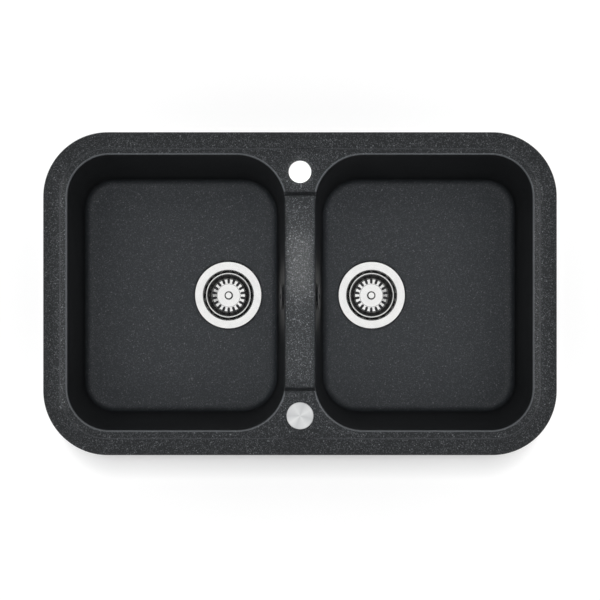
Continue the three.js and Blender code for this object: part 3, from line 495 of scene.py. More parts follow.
def tidy(bm):
    """Merges doubles, drops loose edges and turns the faces outwards."""
    bmesh.ops.remove_doubles(bm, verts=bm.verts, dist=0.0004)
    bmesh.ops.dissolve_degenerate(bm, edges=bm.edges, dist=0.0002)
    loose = [edge for edge in bm.edges if not edge.link_faces]
    bmesh.ops.delete(bm, geom=loose, context="EDGES")
    bmesh.ops.recalc_face_normals(bm, faces=bm.faces)
    return bm


def turned(points, segments=96):
    """A body of revolution about Z from points that end on the axis, or that close on themselves."""
    closed = points[0][0] > 0.0001 or points[-1][0] > 0.0001
    return tidy(spun(points, segments, closed))


print("a turned ring has", len(turned([(3, 0), (4, 0), (4, 1), (3, 1)], 24).faces), "faces")

# %% [markdown]
# A thin pressed sheet is spun from one line and then given its thickness with the Solidify modifier. Slots
# and holes are cut by the Boolean modifier. Both are applied at once here, by sending the workpiece through
# its modifiers and taking the result back as a bmesh.

# %% Modifiers, applied
def as_object(bm, name):
    mesh = bpy.data.meshes.new(name)
    bm.to_mesh(mesh)
    bm.free()
    made = bpy.data.objects.new(name, mesh)
    scene.collection.objects.link(made)
    return made


def discard(unwanted):
    mesh = unwanted.data
    bpy.data.objects.remove(unwanted)
    bpy.data.meshes.remove(mesh)


def through_modifier(bm, kind, **settings):
    """The bmesh after one modifier."""
    work = as_object(bm, "workpiece")
    modifier = work.modifiers.new(kind, kind)
    for name, value in settings.items():
        setattr(modifier, name, value)
    depsgraph = bpy.context.evaluated_depsgraph_get()
    result = bpy.data.meshes.new_from_object(work.evaluated_get(depsgraph), depsgraph=depsgraph)
    made = bmesh.new()
    made.from_mesh(result)
    bpy.data.meshes.remove(result)
    discard(work)
    return made


def carved(bm, tool, operation="DIFFERENCE"):
    """The bmesh with a tool cut out of it, or joined to it."""
    cutter = as_object(tool, "cutter")
    made = through_modifier(bm, "BOOLEAN", object=cutter, operation=operation, solver="EXACT")
    discard(cutter)
    return tidy(made)


def pressed(points, sheet, segments):
    """A spun sheet: the points are its upper side, from the rim inwards."""
    bm = spun(points, segments, False)
    bmesh.ops.remove_doubles(bm, verts=bm.verts, dist=0.0004)
    bmesh.ops.recalc_face_normals(bm, faces=bm.faces)
    lowest = min(bm.faces, key=lambda face: face.calc_center_median().z)
    if lowest.normal.z < 0.0:
        bmesh.ops.reverse_faces(bm, faces=bm.faces)
    return through_modifier(bm, "SOLIDIFY", thickness=sheet, offset=-1.0, use_even_offset=True)


print("carving and pressing ready")

# %% [markdown]
# A piece is built where it is easy to build, at the origin, and a matrix takes it to its place. Pieces that
# are cut or joined together are gathered in one bmesh first.

# %% Places
def shifted(x, y, z):
    return Matrix.Translation((x, y, z))


def facing(origin, direction):
    """The matrix that turns Z to a direction and moves the origin."""
    turn = Vector((0, 0, 1)).rotation_difference(Vector(direction).normalized())
    return Matrix.Translation(origin) @ turn.to_matrix().to_4x4()


def placed(bm, place):
    bmesh.ops.transform(bm, matrix=place, verts=bm.verts)
    return bm


def gather(target, source, *places):
    """Adds a copy of one bmesh to another at each place, or where it is, and frees the first."""
    original = bpy.data.meshes.new("original")
    source.to_mesh(original)
    source.free()
    for place in places or (Matrix.Identity(4),):
        mesh = original.copy()
        mesh.transform(place)
        target.from_mesh(mesh)
        bpy.data.meshes.remove(mesh)
    bpy.data.meshes.remove(original)


print("places ready")

# %% [markdown]
# `finished` is the last bench of the workshop. It moves a piece to its place, turns millimetres into metres,
# shades it smooth with sharp edges kept, hands it to the body it rides on, hides the plain solid that it
# stands for, and gives it the finish of its slot.

# %% Finishing a piece
finished_pieces = []


def past_solid(node, piece):
    """How far a piece reaches out of the box of its node, in millimetres."""
    low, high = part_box(node)
    worst = 0.0
    for vert in piece.data.vertices:
        for axis in range(3):
            worst = max(worst, low[axis] - vert.co[axis], vert.co[axis] - high[axis])
    return worst * 1000.0


def finished(node, bm, place=None, material=None, sharp=40.0):
    """Makes the piece that stands for a CAD node. place is a matrix in millimetres."""
    if place is not None:
        placed(bm, place)
    tidy(bm)
    bmesh.ops.scale(bm, vec=(0.001, 0.001, 0.001), verts=bm.verts)
    open_edges = sum(1 for edge in bm.edges if len(edge.link_faces) != 2)
    piece = as_object(bm, f"{node}_finished")
    piece.data.shade_smooth()
    piece.data.set_sharp_from_angle(angle=math.radians(sharp))
    weighted = piece.modifiers.new("Weighted normals", "WEIGHTED_NORMAL")
    weighted.keep_sharp = True
    slot = slot_of[node]
    piece.data.materials.append(material or material_for[slot])
    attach(piece, body_of[node])
    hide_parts(node)
    finished_pieces.append(piece)
    note = f"{piece.name}: {len(piece.data.polygons)} faces, {past_solid(node, piece):.2f} mm past its solid"
    print(note + (f", {open_edges} OPEN EDGES" if open_edges else ""))


print("finishing bench ready")

# %% [markdown]
# ## The sink's body
#
# The body is one casting: a rim, a deck, and two bowls. Every level of the rim and of a bowl is the same kind
# of outline, a rectangle with rounded corners, so each level is made as a four-cornered face whose corners
# are bevelled, and the levels are joined with bridges. All outlines have the same number of points, which
# keeps the bridges even.

# %% Outlines
corner_steps = 48


def outline(bm, low, high, left_radius, right_radius, z):
    """The edges of a rectangle with rounded corners at one height."""
    made = bmesh.ops.create_grid(bm, x_segments=1, y_segments=1, size=1.0)["verts"]
    for vert in made:
        vert.co.x = high[0] if vert.co.x > 0 else low[0]
        vert.co.y = high[1] if vert.co.y > 0 else low[1]
        vert.co.z = z
    middle = (low[0] + high[0]) / 2.0
    left = [v for v in made if v.co.x < middle]
    right = [v for v in made if v.co.x > middle]
    rounded(bm, left, left_radius, corner_steps)
    done = rounded(bm, right, right_radius, corner_steps)
    face = done["verts"][0].link_faces[0]
    edges = list(face.edges)
    bmesh.ops.delete(bm, geom=[face], context="FACES_ONLY")
    return edges


def circle(bm, middle, z, radius, segments):
    """The edges of a circle at one height."""
    place = shifted(*middle, z)
    made = bmesh.ops.create_circle(bm, segments=segments, radius=radius, matrix=place)["verts"]
    return list({edge for vert in made for edge in vert.link_edges})


def stacked(bm, loops):
    """Bridges each loop of edges to the next."""
    for lower, upper in zip(loops, loops[1:]):
        bmesh.ops.bridge_loops(bm, edges=lower + upper)


print("an outline has", 4 * (corner_steps + 1), "edges")

# %% [markdown]
# The rim lies on the worktop. Its outer edge is rounded, its upper face is a border that steps down to the
# deck, and underneath it has a groove for the sealing strip. The section is written as (inset, height,
# radius) and every point of it becomes one outline.

# %% Rim
half_length = 397.5
half_width = 250.0
rim_corner = 100.0
deck_top = 6.7
deck_under = -3.3
rim_section = [(14.0, deck_under), (14.0, 0.0, 1.0), (8.0, 0.0, 0.3), (8.0, 2.5, 0.3), (2.0, 2.5, 0.3)]
rim_section += [(2.0, 0.0, 0.3), (0.0, 0.0, 0.8), (0.0, 9.0, 3.0), (25.0, 9.0, 0.9)]
rim_section += [(26.3, 7.4, 1.0), (31.2, deck_top)]


def rim_outline(bm, inset, z):
    low = (-half_length + inset, -half_width + inset)
    high = (half_length - inset, half_width - inset)
    return outline(bm, low, high, rim_corner - inset, rim_corner - inset, z)


sink = bmesh.new()
rim_loops = [rim_outline(sink, inset, z) for inset, z in rounded_line(rim_section)]
stacked(sink, rim_loops)
print("rim:", len(rim_loops), "levels,", len(sink.faces), "faces")

# %% [markdown]
# A bowl's walls lean in as they go down: by 11.6 mm at the sides, by 24 mm at the front and back, and the
# corners tighten by 15 mm. The outline at any height follows from that. The inner skin runs from the rolled
# lip down to the floor and on to the recess for the waste; the outer skin goes back up 9 mm outside it.

# %% The plan of a bowl at any height
wall_top = 2.7
wall_foot = -163.0
mouth_low = (23.5, -211.0)
mouth_high = (360.0, 214.6)
inner_corner = 75.0
outer_corner = 65.0
side_draft = 11.6
end_draft = 24.0
corner_draft = 15.0
wall = 9.0
bowl_under = -190.0


def bowl_outline(bm, offset, z):
    drawn = min(max((wall_top - z) / (wall_top - wall_foot), 0.0), 1.0)
    low = (mouth_low[0] + side_draft * drawn - offset, mouth_low[1] + end_draft * drawn - offset)
    high = (mouth_high[0] - side_draft * drawn + offset, mouth_high[1] - end_draft * drawn + offset)
    inner = inner_corner - corner_draft * drawn + offset
    outer = outer_corner - corner_draft * drawn + offset
    return outline(bm, low, high, inner, outer, z)


inner_skin = rounded_line([(4.0, deck_top), (0.0, deck_top, 4.0), (0.0, -181.0, 18.0), (-18.0, -181.0)], 8)
outer_skin = [(-18.0, bowl_under), (wall, bowl_under, 27.0), (wall, deck_under, 3.0), (12.0, deck_under)]
outer_skin = rounded_line(outer_skin, 8)
recess = rounded_line([(57.0, -181.9), (56.5, -182.4), (56.5, -185.5, 0.6), (45.3, -185.5)])
recess += [(45.0, -185.8), (45.0, bowl_under)]
print("skins:", len(inner_skin), "and", len(outer_skin), "levels")

# %% One bowl, from its lip round to its outer wall, and its mirror image
bowl = bmesh.new()
bowl_loops = [bowl_outline(bowl, offset, z) for offset, z in inner_skin]
for radius, z in recess:
    bowl_loops.append(circle(bowl, (drain_x, drain_y), z, radius, 4 * (corner_steps + 1)))
bowl_loops += [bowl_outline(bowl, offset, z) for offset, z in outer_skin]
stacked(bowl, bowl_loops)
gather(sink, bowl, Matrix.Identity(4), Matrix.Scale(-1.0, 4, (1.0, 0.0, 0.0)))
print("two bowls:", len(sink.faces), "faces")

# %% [markdown]
# The two tap holes are tubes through the deck. Then the deck itself is filled between all the open edges at
# its height, above and below. Between the bowls the fill is made first, as a bridge from lip to lip, because
# that strip is lowered afterwards and needs faces that run straight across.

# %% Tap holes
hole_line = [(18.2, deck_top), (17.5, deck_top, 0.7), (17.5, deck_under, 0.5), (18.0, deck_under)]
for y in (-tap_y, tap_y):
    levels = rounded_line(hole_line)
    stacked(sink, [circle(sink, (0.0, y), z, radius, 96) for radius, z in levels])
bmesh.ops.remove_doubles(sink, verts=sink.verts, dist=0.001)
print("with tap holes:", len(sink.faces), "faces")

# %% Deck, above and below
def open_edges_at(bm, z):
    level = []
    for edge in bm.edges:
        if len(edge.link_faces) == 1 and all(abs(v.co.z - z) < 0.001 for v in edge.verts):
            level.append(edge)
    return level


def fill_deck(bm, z, way):
    """Bridges the lips that face each other, then fills the rest; way is the normal's Z."""
    facing_lips = []
    for edge in open_edges_at(bm, z):
        if all(abs(v.co.x) < 60.0 and abs(v.co.y) < 167.0 for v in edge.verts):
            facing_lips.append(edge)
    bmesh.ops.bridge_loops(bm, edges=facing_lips)
    rest = open_edges_at(bm, z)
    bmesh.ops.triangle_fill(bm, edges=rest, use_beauty=True, normal=(0.0, 0.0, way))
    print("at", z, "bridged", len(facing_lips), "edges and filled", len(rest))


fill_deck(sink, deck_top, 1.0)
fill_deck(sink, deck_under, -1.0)
print("edges without two faces:", sum(1 for edge in sink.edges if len(edge.link_faces) != 2))

# %% [markdown]
# Now the saddle: water that fills one bowl must run into the other before it reaches the worktop, so the
# divider is 12 mm lower than the deck, with a short ramp at each end. The mesh between the bowls is cut by
# a row of planes through both ramps, and everything at the height of the deck and its lips is let down along
# the slope of the walls.

# %% Saddle
ramp_back = 155.0
ramp_front = -148.0
ramp_run = 8.0
ramp_cuts = 12
divider_end = 186.0


def cut_across(bm, y):
    near = []
    for face in bm.faces:
        if all(abs(v.co.x) < 62.0 and v.co.z > -9.0 and abs(v.co.y) < divider_end for v in face.verts):
            near.append(face)
    edges = {edge for face in near for edge in face.edges}
    verts = {vert for face in near for vert in face.verts}
    geom = near + list(edges) + list(verts)
    bmesh.ops.bisect_plane(bm, geom=geom, dist=0.0005, plane_co=(0.0, y, 0.0), plane_no=(0.0, 1.0, 0.0))


for middle in (ramp_back, ramp_front):
    for step in range(ramp_cuts + 1):
        cut_across(sink, middle + ramp_run * (step / ramp_cuts - 0.5))
print("after the ramp cuts:", len(sink.faces), "faces")

# %% Letting the saddle down
wall_slope = 0.07


def lowered(y):
    """How far down the saddle is at y, from 0 to 1."""
    into = min(ramp_back + ramp_run / 2.0 - y, y - ramp_front + ramp_run / 2.0)
    way = min(max(into / ramp_run, 0.0), 1.0)
    return way * way * (3.0 - 2.0 * way)


moved = 0
for vert in sink.verts:
    x, y, z = vert.co
    if abs(x) > 60.0 or abs(y) > divider_end or z <= -6.4:
        continue
    drop = (12.0 if z > 2.6 else 11.0) * lowered(y)
    vert.co.z = z - drop
    vert.co.x = x + math.copysign(wall_slope, x) * drop
    moved += drop > 0
print("let down", moved, "points")

# %% [markdown]
# Eight bosses stand out from the bowls' outer walls, for the clips that hold the sink in the worktop. Each is
# a block with rounded corners that reaches into the leaning wall. They are joined on, and then the screw
# holes and the two overflow holes are cut through.

# %% Places of the clips: name, turn about Z, the boss's face, and how far the wall leans
clip_rows = [
    ("right_front_side", 0.0, (374.5, -110.0), side_draft),
    ("left_front_side", math.pi, (-374.5, -110.0), side_draft),
    ("right_back_side", 0.0, (374.5, 113.6), side_draft),
    ("left_back_side", math.pi, (-374.5, 113.6), side_draft),
    ("back_left", math.pi / 2, (-191.75, 229.1), end_draft),
    ("front_left", -math.pi / 2, (-191.75, -225.5), end_draft),
    ("back_right", math.pi / 2, (191.75, 229.1), end_draft),
    ("front_right", -math.pi / 2, (191.75, -225.5), end_draft),
]
clip_level = -29.0
clip_sites = {name: shifted(*spot, 0.0) @ Matrix.Rotation(turn, 4, "Z") for name, turn, spot, _ in clip_rows}
along_screw = facing((0.0, 0.0, clip_level), (1.0, 0.0, 0.0))
print(len(clip_sites), "clips")

# %% Bosses
def boss(depth):
    """A block with rounded edges, its face at x = 0, reaching back by depth."""
    bm = bmesh.new()
    bmesh.ops.create_cube(bm, size=1.0)
    bmesh.ops.scale(bm, vec=(depth, 26.0, 28.0), verts=bm.verts)
    bmesh.ops.translate(bm, vec=(-depth / 2.0, 0.0, clip_level), verts=bm.verts)
    softened(bm, [e for e in bm.edges if abs(e.verts[0].co.x - e.verts[1].co.x) > 1.0], 5.0, 8)
    softened(bm, [e for e in bm.edges if all(abs(v.co.x) < 0.001 for v in e.verts)], 0.8, 3)
    return tidy(bm)


bosses = bmesh.new()
for name, turn, spot, draft in clip_rows:
    lean = draft * (wall_top + 43.0) / (wall_top - wall_foot)
    gather(bosses, boss(5.5 + lean + wall / 2.0), clip_sites[name])
sink = carved(tidy(sink), bosses, "UNION")
print("with bosses:", len(sink.faces), "faces")

# %% Holes through the walls
def rod(radius, low, high, segments=48):
    """A round bar along Z with a plain end."""
    return turned([(0.0, low), (radius, low), (radius, high), (0.0, high)], segments)


overflow_x = 26.56
overflow_middle = (0.0, -3.0, -41.0)
overflow_sites = {}
for side, sign in (("left", -1.0), ("right", 1.0)):
    mouth = (sign * overflow_x, *overflow_middle[1:])
    overflow_sites[side] = facing(mouth, (sign, 0.0, wall_slope))
holes = bmesh.new()
gather(holes, rod(14.0, -16.0, 9.0, 64), *overflow_sites.values())
gather(holes, rod(2.8, -12.0, 1.0, 24), *[site @ along_screw for site in clip_sites.values()])
sink = carved(sink, holes)
finished("sink_body", sink, sharp=35.0)

# %% [markdown]
# ## The wastes
#
# A strainer cup is pressed from steel: a flange with a rolled edge, a rounded mouth, a wall, a cone that the
# plug seals on, and a well with six holes. It is spun as one sheet; the holes are cut when it has its
# thickness. All levels here are measured from the floor of the bowl at the drain.

# %% Strainer cup
cup_line = [(55.0, -1.6), (55.0, 0.4, 2.0), (52.0, 0.35), (43.0, -0.4), (40.4, -0.5, 2.4), (39.6, -4.0)]
cup_line += [(39.0, -19.0, 4.0), (31.0, -19.4, 1.6), (28.0, -22.0, 0.5), (26.0, -24.0, 0.5)]
cup_line += [(24.0, -34.0, 1.5), (3.3, -34.0)]


def around(count, radius, start=0.0):
    """Places evenly round a circle."""
    turns = [start + 2.0 * math.pi / count * i for i in range(count)]
    return [shifted(radius * math.cos(turn), radius * math.sin(turn), 0.0) for turn in turns]


def strainer_cup():
    drills = bmesh.new()
    gather(drills, rod(5.5, -37.0, -32.0, 32), *around(6, 15.5))
    return carved(pressed(rounded_line(cup_line, 6), 1.0, 128), drills)


print("cup line:", len(cup_line), "corners")

# %% [markdown]
# The basket sits in the cup. Its rim is a bead, its wall a cone, and its bottom a rounded shoulder that runs
# into a flat plate. Eighteen slots cut the shoulder between the wall and the plate; from above they show as
# dark gaps with bright ribs between them.

# %% Basket
basket_line = [(36.6, -5.0), (36.6, -3.7, 1.28), (34.0, -3.7, 1.28), (34.0, -5.6, 0.8), (30.5, -14.0, 3.0)]
basket_line += [(26.9, -19.3, 3.5), (18.9, -21.65, 0.6), (18.1, -21.5, 0.4), (2.8, -21.5)]
slot_count = 18


def slot_filling(length, width, setback, height, middle=0.0, foot=0.0):
    """What a slot with round ends takes away: a flat bar that is raised by height."""
    bm = bmesh.new()
    made = bmesh.ops.create_grid(bm, x_segments=1, y_segments=1, size=0.5)["verts"]
    bmesh.ops.scale(bm, vec=(length, width, 1.0), verts=made)
    bmesh.ops.translate(bm, vec=(middle, 0.0, foot), verts=made)
    rounded(bm, list(bm.verts), setback, 8)
    raised = bmesh.ops.extrude_face_region(bm, geom=list(bm.faces))["geom"]
    top = [item for item in raised if isinstance(item, bmesh.types.BMVert)]
    bmesh.ops.translate(bm, vec=(0.0, 0.0, height), verts=top)
    return tidy(bm)


def basket():
    slots = bmesh.new()
    turns = [math.pi / 2.0 + 2.0 * math.pi * i / slot_count for i in range(slot_count)]
    one = slot_filling(10.0, 4.2, 4.2 * 0.499, 14.0, 24.4, -24.0)
    gather(slots, one, *[Matrix.Rotation(turn, 4, "Z") for turn in turns])
    return carved(pressed(rounded_line(basket_line, 6), 0.8, 144), slots)


print("basket line:", len(basket_line), "corners")

# %% [markdown]
# The knob lifts the basket out. It is turned, with a waist to grip and a flat top with a broad chamfer. Its
# stem goes down through the plate and the rubber plug, and a nut holds them together.

# %% Knob, plug and nut
knob_line = [(0.0, -28.3), (2.2, -28.3), (2.5, -28.0), (2.5, -21.2), (4.75, -21.2, 0.3), (3.4, -17.6, 2.5)]
knob_line += [(6.6, -15.6, 1.0), (6.6, -14.0, 0.5), (4.9, -12.2, 0.4), (0.0, -12.2)]
plug_line = [(2.8, -22.6), (26.9, -22.6, 0.3), (25.6, -24.0, 0.5), (23.6, -25.0, 0.4), (2.8, -25.0)]


def hexagon_nut(radius, bore, low, high):
    """A nut with bevelled corners, open for its screw."""
    bm = bmesh.new()
    bmesh.ops.create_cone(bm, cap_ends=True, segments=6, radius1=radius, radius2=radius, depth=high - low)
    bmesh.ops.translate(bm, vec=(0.0, 0.0, (low + high) / 2.0), verts=bm.verts)
    softened(bm, list(bm.edges), 0.25)
    return carved(bm, rod(bore, low - 1.0, high + 1.0, 32))


print("knob line:", len(knob_line), "corners")

# %% [markdown]
# Under the bowl a plastic body is drawn up against it by one screw from above, with a gasket between. It
# narrows to the threaded outlet that the trap screws on, and it has a slanting inlet for the overflow. Four
# spokes hold the hub with the brass insert that the screw bites in. A thread is a small triangle that is spun
# along a helix.

# %% Threads and blocks
def thread(outer, low, high, pitch, depth):
    """A ridge wound round a tube."""
    bm = bmesh.new()
    turns = int((high - low) / pitch)
    steps = 36
    root = outer - depth - 0.3
    middle = low + 0.3 * pitch
    corners = ((root, middle - 0.38 * pitch), (outer, middle), (root, middle + 0.38 * pitch))
    verts = [bm.verts.new((across, 0.0, up)) for across, up in corners]
    face = bm.faces.new(verts)
    bmesh.ops.spin(
        bm,
        geom=[face, *face.edges, *verts],
        cent=(0, 0, 0),
        axis=(0, 0, 1),
        dvec=(0, 0, pitch / steps),
        angle=2.0 * math.pi * turns,
        steps=steps * turns,
        use_merge=False,
    )
    ends = [e for e in bm.edges if len(e.link_faces) == 1]
    if ends:
        bmesh.ops.holes_fill(bm, edges=ends)
    bmesh.ops.recalc_face_normals(bm, faces=bm.faces)
    return bm


def block(size, centre, bevel=0.4):
    """A block with rounded edges."""
    bm = bmesh.new()
    bmesh.ops.create_cube(bm, size=1.0)
    bmesh.ops.scale(bm, vec=size, verts=bm.verts)
    softened(bm, list(bm.edges), bevel)
    return placed(bm, shifted(*centre))


print("threads and blocks ready")

# %% The body, its spokes and its inlet
body_line = [(44.5, -10.8), (57.0, -10.8, 0.6), (57.0, -15.5, 0.8), (48.0, -15.5, 1.5), (48.0, -57.8, 4.0)]
body_line += [(23.9, -69.8, 3.0), (23.9, -94.8), (22.9, -95.8), (20.0, -95.8, 0.4)]
body_line += [(20.0, -66.3, 3.0), (44.5, -54.3, 4.0)]
inlet_tilt = math.radians(35.0)
inlet_axis = Vector((math.cos(inlet_tilt), 0.0, math.sin(inlet_tilt)))
inlet_mouth = Vector((64.5, 0.0, -32.0))


def waste_body():
    shell = turned(rounded_line(body_line, 6), 96)
    for quarter in (1, 3):
        spoke = block((92.5, 3.0, 12.0), (0.0, 0.0, -42.3))
        shell = carved(shell, placed(spoke, Matrix.Rotation(quarter * math.pi / 4, 4, "Z")), "UNION")
    hub = turned(rounded_line([(0.0, -57.8), (8.0, -57.8, 0.5), (8.0, -35.3, 0.8), (0.0, -35.3)]), 48)
    shell = carved(shell, hub, "UNION")
    inlet = turned(rounded_line([(0.0, -22.0), (12.0, -22.0), (12.0, 0.0, 0.6), (0.0, 0.0)]), 64)
    at_inlet = facing(inlet_mouth, inlet_axis)
    shell = carved(shell, placed(inlet, at_inlet), "UNION")
    bores = (placed(rod(8.5, -40.0, 2.0), at_inlet), rod(3.3, -60.0, -30.0, 32), rod(5.3, -60.0, -48.5, 32))
    for bore in bores:
        shell = carved(shell, bore)
    gather(shell, thread(23.85, -94.5, -72.5, 2.31, 0.9))
    return shell


print("body line:", len(body_line), "corners")

# %% [markdown]
# The clamp screw is zinc plated, with a rounded head and a slot across it for a coin or a wide driver. The
# gaskets are plain rings with softened edges.

# %% Screw and rings
screw_line = [(0.0, -57.5), (2.4, -57.5), (2.6, -57.0), (2.6, -33.7), (6.0, -33.7, 0.3), (6.0, -31.9, 0.6)]
screw_line += [(4.2, -30.7, 1.2), (0.0, -30.7)]


def ring(inner, outer, low, high, round_by=0.4, segments=96):
    """A ring with softened edges."""
    middle = (low + high) / 2.0
    corners = [(inner, middle), (inner, low, round_by), (outer, low, round_by), (outer, high, round_by)]
    corners += [(inner, high, round_by), (inner, middle + 0.01)]
    return turned(rounded_line(corners, 3), segments)


def clamp_screw():
    slot = block((14.0, 1.6, 2.0), (0.0, 0.0, -30.9), 0.1)
    screw = carved(turned(rounded_line(screw_line), 64), slot)
    gather(screw, thread(3.0, -57.3, -40.0, 1.25, 0.4))
    return screw


print("screw line:", len(screw_line), "corners")

# %% Both wastes
drain_level = -182.5
for side, sign in (("left", -1.0), ("right", 1.0)):
    at_drain = shifted(drain_x * sign, drain_y, drain_level)
    steel = steel_of[side]
    finished(f"{side}_strainer_cup", strainer_cup(), at_drain, steel)
    finished(f"{side}_cup_seal", ring(46.0, 52.0, -2.7, -1.72, 0.25), at_drain)
    finished(f"{side}_basket", basket(), at_drain, steel)
    finished(f"{side}_basket_knob", turned(rounded_line(knob_line), 64), at_drain, steel)
    finished(f"{side}_basket_plug", turned(rounded_line(plug_line, 3), 96), at_drain)
    finished(f"{side}_basket_nut", hexagon_nut(5.5, 2.8, -28.3, -25.3), at_drain, steel)
    finished(f"{side}_waste_gasket", ring(46.0, 56.0, -10.5, -7.8), at_drain)
    inlet_inwards = Matrix.Rotation(0.0 if sign < 0 else math.pi, 4, "Z")
    finished(f"{side}_waste_body", waste_body(), at_drain @ inlet_inwards)
    finished(f"{side}_clamp_screw", clamp_screw(), at_drain)
    finished(f"{side}_clamp_insert", ring(3.3, 5.0, -57.5, -48.8, 0.3, 48), at_drain)
print("wastes done")

# %% [markdown]
# ## The overflow
#
# High on the divider, each bowl has a round steel cover that stands 2 mm off the wall on four feet, so water
# can slip in behind it. Behind the divider's walls a plastic collector joins both holes, and a hose takes the
# water down to the left waste.

# %% Covers, screws and gaskets
cover_line = [(2.8, 2.0), (20.4, 2.0, 0.2), (21.0, 2.6, 0.3), (20.2, 3.2, 0.5), (12.0, 3.75, 6.0)]
cover_line += [(2.8, 4.0), (2.8, 3.0)]
overflow_screw_line = [(0.0, -17.7), (2.3, -17.7), (2.5, -17.4), (2.5, 4.3), (4.5, 4.3, 0.2)]
overflow_screw_line += [(3.9, 5.2, 1.0), (2.0, 5.8, 2.0), (0.0, 5.9)]


def overflow_cover():
    disc = turned(rounded_line(cover_line), 96)
    for place in around(4, 17.5, math.pi / 4.0):
        disc = carved(disc, placed(rod(1.8, 0.3, 2.8, 24), place), "UNION")
    return disc


def with_cross(screw, span, width, depth, level):
    """A screw head with a cross recess."""
    for size in ((span, width, depth), (width, span, depth)):
        screw = carved(screw, block(size, (0.0, 0.0, level), 0.05))
    return screw


for side, place in overflow_sites.items():
    overflow_screw = with_cross(turned(rounded_line(overflow_screw_line), 64), 4.4, 0.9, 1.6, 5.9)
    finished(f"{side}_overflow_cover", overflow_cover(), place, smoked)
    finished(f"{side}_overflow_screw", overflow_screw, place, smoked)
    finished(f"{side}_overflow_gasket", ring(15.0, 20.0, -10.98, -9.28, 0.2), place)

# %% [markdown]
# The collector is a drum that lies across the gap between the bowls, cut to the slope of both walls. A core
# on its axis takes the two screws, on webs across the chamber, and a tail with a bore leads down to the hose.

# %% Collector
along_x = facing(overflow_middle, (1.0, 0.0, 0.0))
behind_wall = 11.28


def between_walls(bm):
    """Cuts a body along X to the slope of both divider walls."""
    for sign in (-1.0, 1.0):
        way = Vector((sign, 0.0, wall_slope)).normalized()
        spot = Vector((overflow_x * sign, *overflow_middle[1:])) - behind_wall * way
        geom = [*bm.verts, *bm.edges, *bm.faces]
        cut = bmesh.ops.bisect_plane(
            bm, geom=geom, dist=0.0005, plane_co=spot, plane_no=way, clear_outer=True
        )["geom_cut"]
        bmesh.ops.holes_fill(bm, edges=[item for item in cut if isinstance(item, bmesh.types.BMEdge)])
    return tidy(bm)


def collector():
    drum = between_walls(placed(rod(21.0, -30.0, 30.0, 96), along_x))
    tail = turned(rounded_line([(0.0, -86.0), (12.0, -86.0, 0.5), (12.0, -57.0), (0.0, -57.0)]), 64)
    drum = carved(drum, placed(tail, shifted(0.0, drain_y, 0.0)), "UNION")
    chamber = placed(rod(15.0, -32.0, 32.0, 96), along_x)
    chamber = carved(chamber, placed(rod(5.5, -34.0, 34.0), along_x))
    chamber = carved(chamber, block((15.0, 32.0, 3.0), overflow_middle, 0.3))
    drum = carved(drum, chamber)
    drum = carved(drum, placed(rod(7.5, -88.0, -50.0), shifted(0.0, drain_y, 0.0)))
    for place in overflow_sites.values():
        drum = carved(drum, placed(rod(2.8, -18.3, 1.0, 32), place))
    return drum


finished("overflow_collector", collector())

# %% [markdown]
# The hose is a ribbed tube. Its middle line goes straight down, round a bend of 80 mm radius, and straight
# into the left inlet. The tube is spun as a straight pipe with ribs, and then each ring of it is carried to
# its place on the middle line.

# %% The hose's middle line
hose_end = Vector((-drain_x, drain_y, drain_level)) + inlet_mouth + 0.3 * inlet_axis
hose_turn = math.pi / 2.0 - inlet_tilt
hose_bend = 80.0
last_run = (-hose_end.x - hose_bend * (1.0 - math.cos(hose_turn))) / math.cos(inlet_tilt)
bend_start = hose_end.z + last_run * math.sin(inlet_tilt) + hose_bend * math.sin(hose_turn)
hose_top = -86.3
first_run = hose_top - bend_start
hose_length = first_run + hose_bend * hose_turn + last_run


def hose_place(distance):
    """The frame of the middle line at a distance from the collector: Z along the hose."""
    angle = min(max((distance - first_run) / hose_bend, 0.0), hose_turn)
    past = max(distance - first_run - hose_bend * hose_turn, 0.0)
    along = Vector((-math.sin(angle), 0.0, -math.cos(angle)))
    across = -hose_bend * (1.0 - math.cos(angle))
    spot = Vector((across, drain_y, bend_start - hose_bend * math.sin(angle)))
    if distance < first_run:
        spot.z = hose_top - distance
    sideways = Vector((0.0, 1.0, 0.0))
    turn = Matrix((sideways, along.cross(sideways), along)).transposed().to_4x4()
    return Matrix.Translation(spot + past * along) @ turn


print("hose:", round(hose_length, 1), "mm long")

# %% Ribs and bore
cuff = 20.0
rib_pitch = 5.0
rib_shape = [(9.5, 0.35), (8.75, 1.1), (8.7, 2.5), (8.75, 3.9), (9.5, 4.65), (10.0, rib_pitch)]
bore_rings = 40
rib_count = int((hose_length - 2.0 * cuff) // rib_pitch)
rib_start = (hose_length - rib_count * rib_pitch) / 2.0
hose_profile = [(7.5, 0.0), (10.0, 0.0), (10.0, rib_start - 0.4)]
for rib in range(rib_count):
    foot = rib_start + rib_pitch * rib
    hose_profile += [(across, foot + up) for across, up in rib_shape]
hose_profile += [(10.0, hose_length), (7.5, hose_length)]
hose_profile += [(7.5, hose_length * (1.0 - step / bore_rings)) for step in range(1, bore_rings)]
hose = turned(hose_profile, 48)
for vert in hose.verts:
    along = min(max(vert.co.z, 0.0), hose_length)
    vert.co = hose_place(along) @ Vector((vert.co.x, vert.co.y, 0.0))
finished("overflow_hose", hose, sharp=50.0)

# %% [markdown]
# A union nut at each end presses the hose's cuff on its pipe. Its grip is moulded: the sides are inset face
# by face and pushed in, which leaves narrow ribs. The right waste's inlet has a blanking cap of the same
# kind.

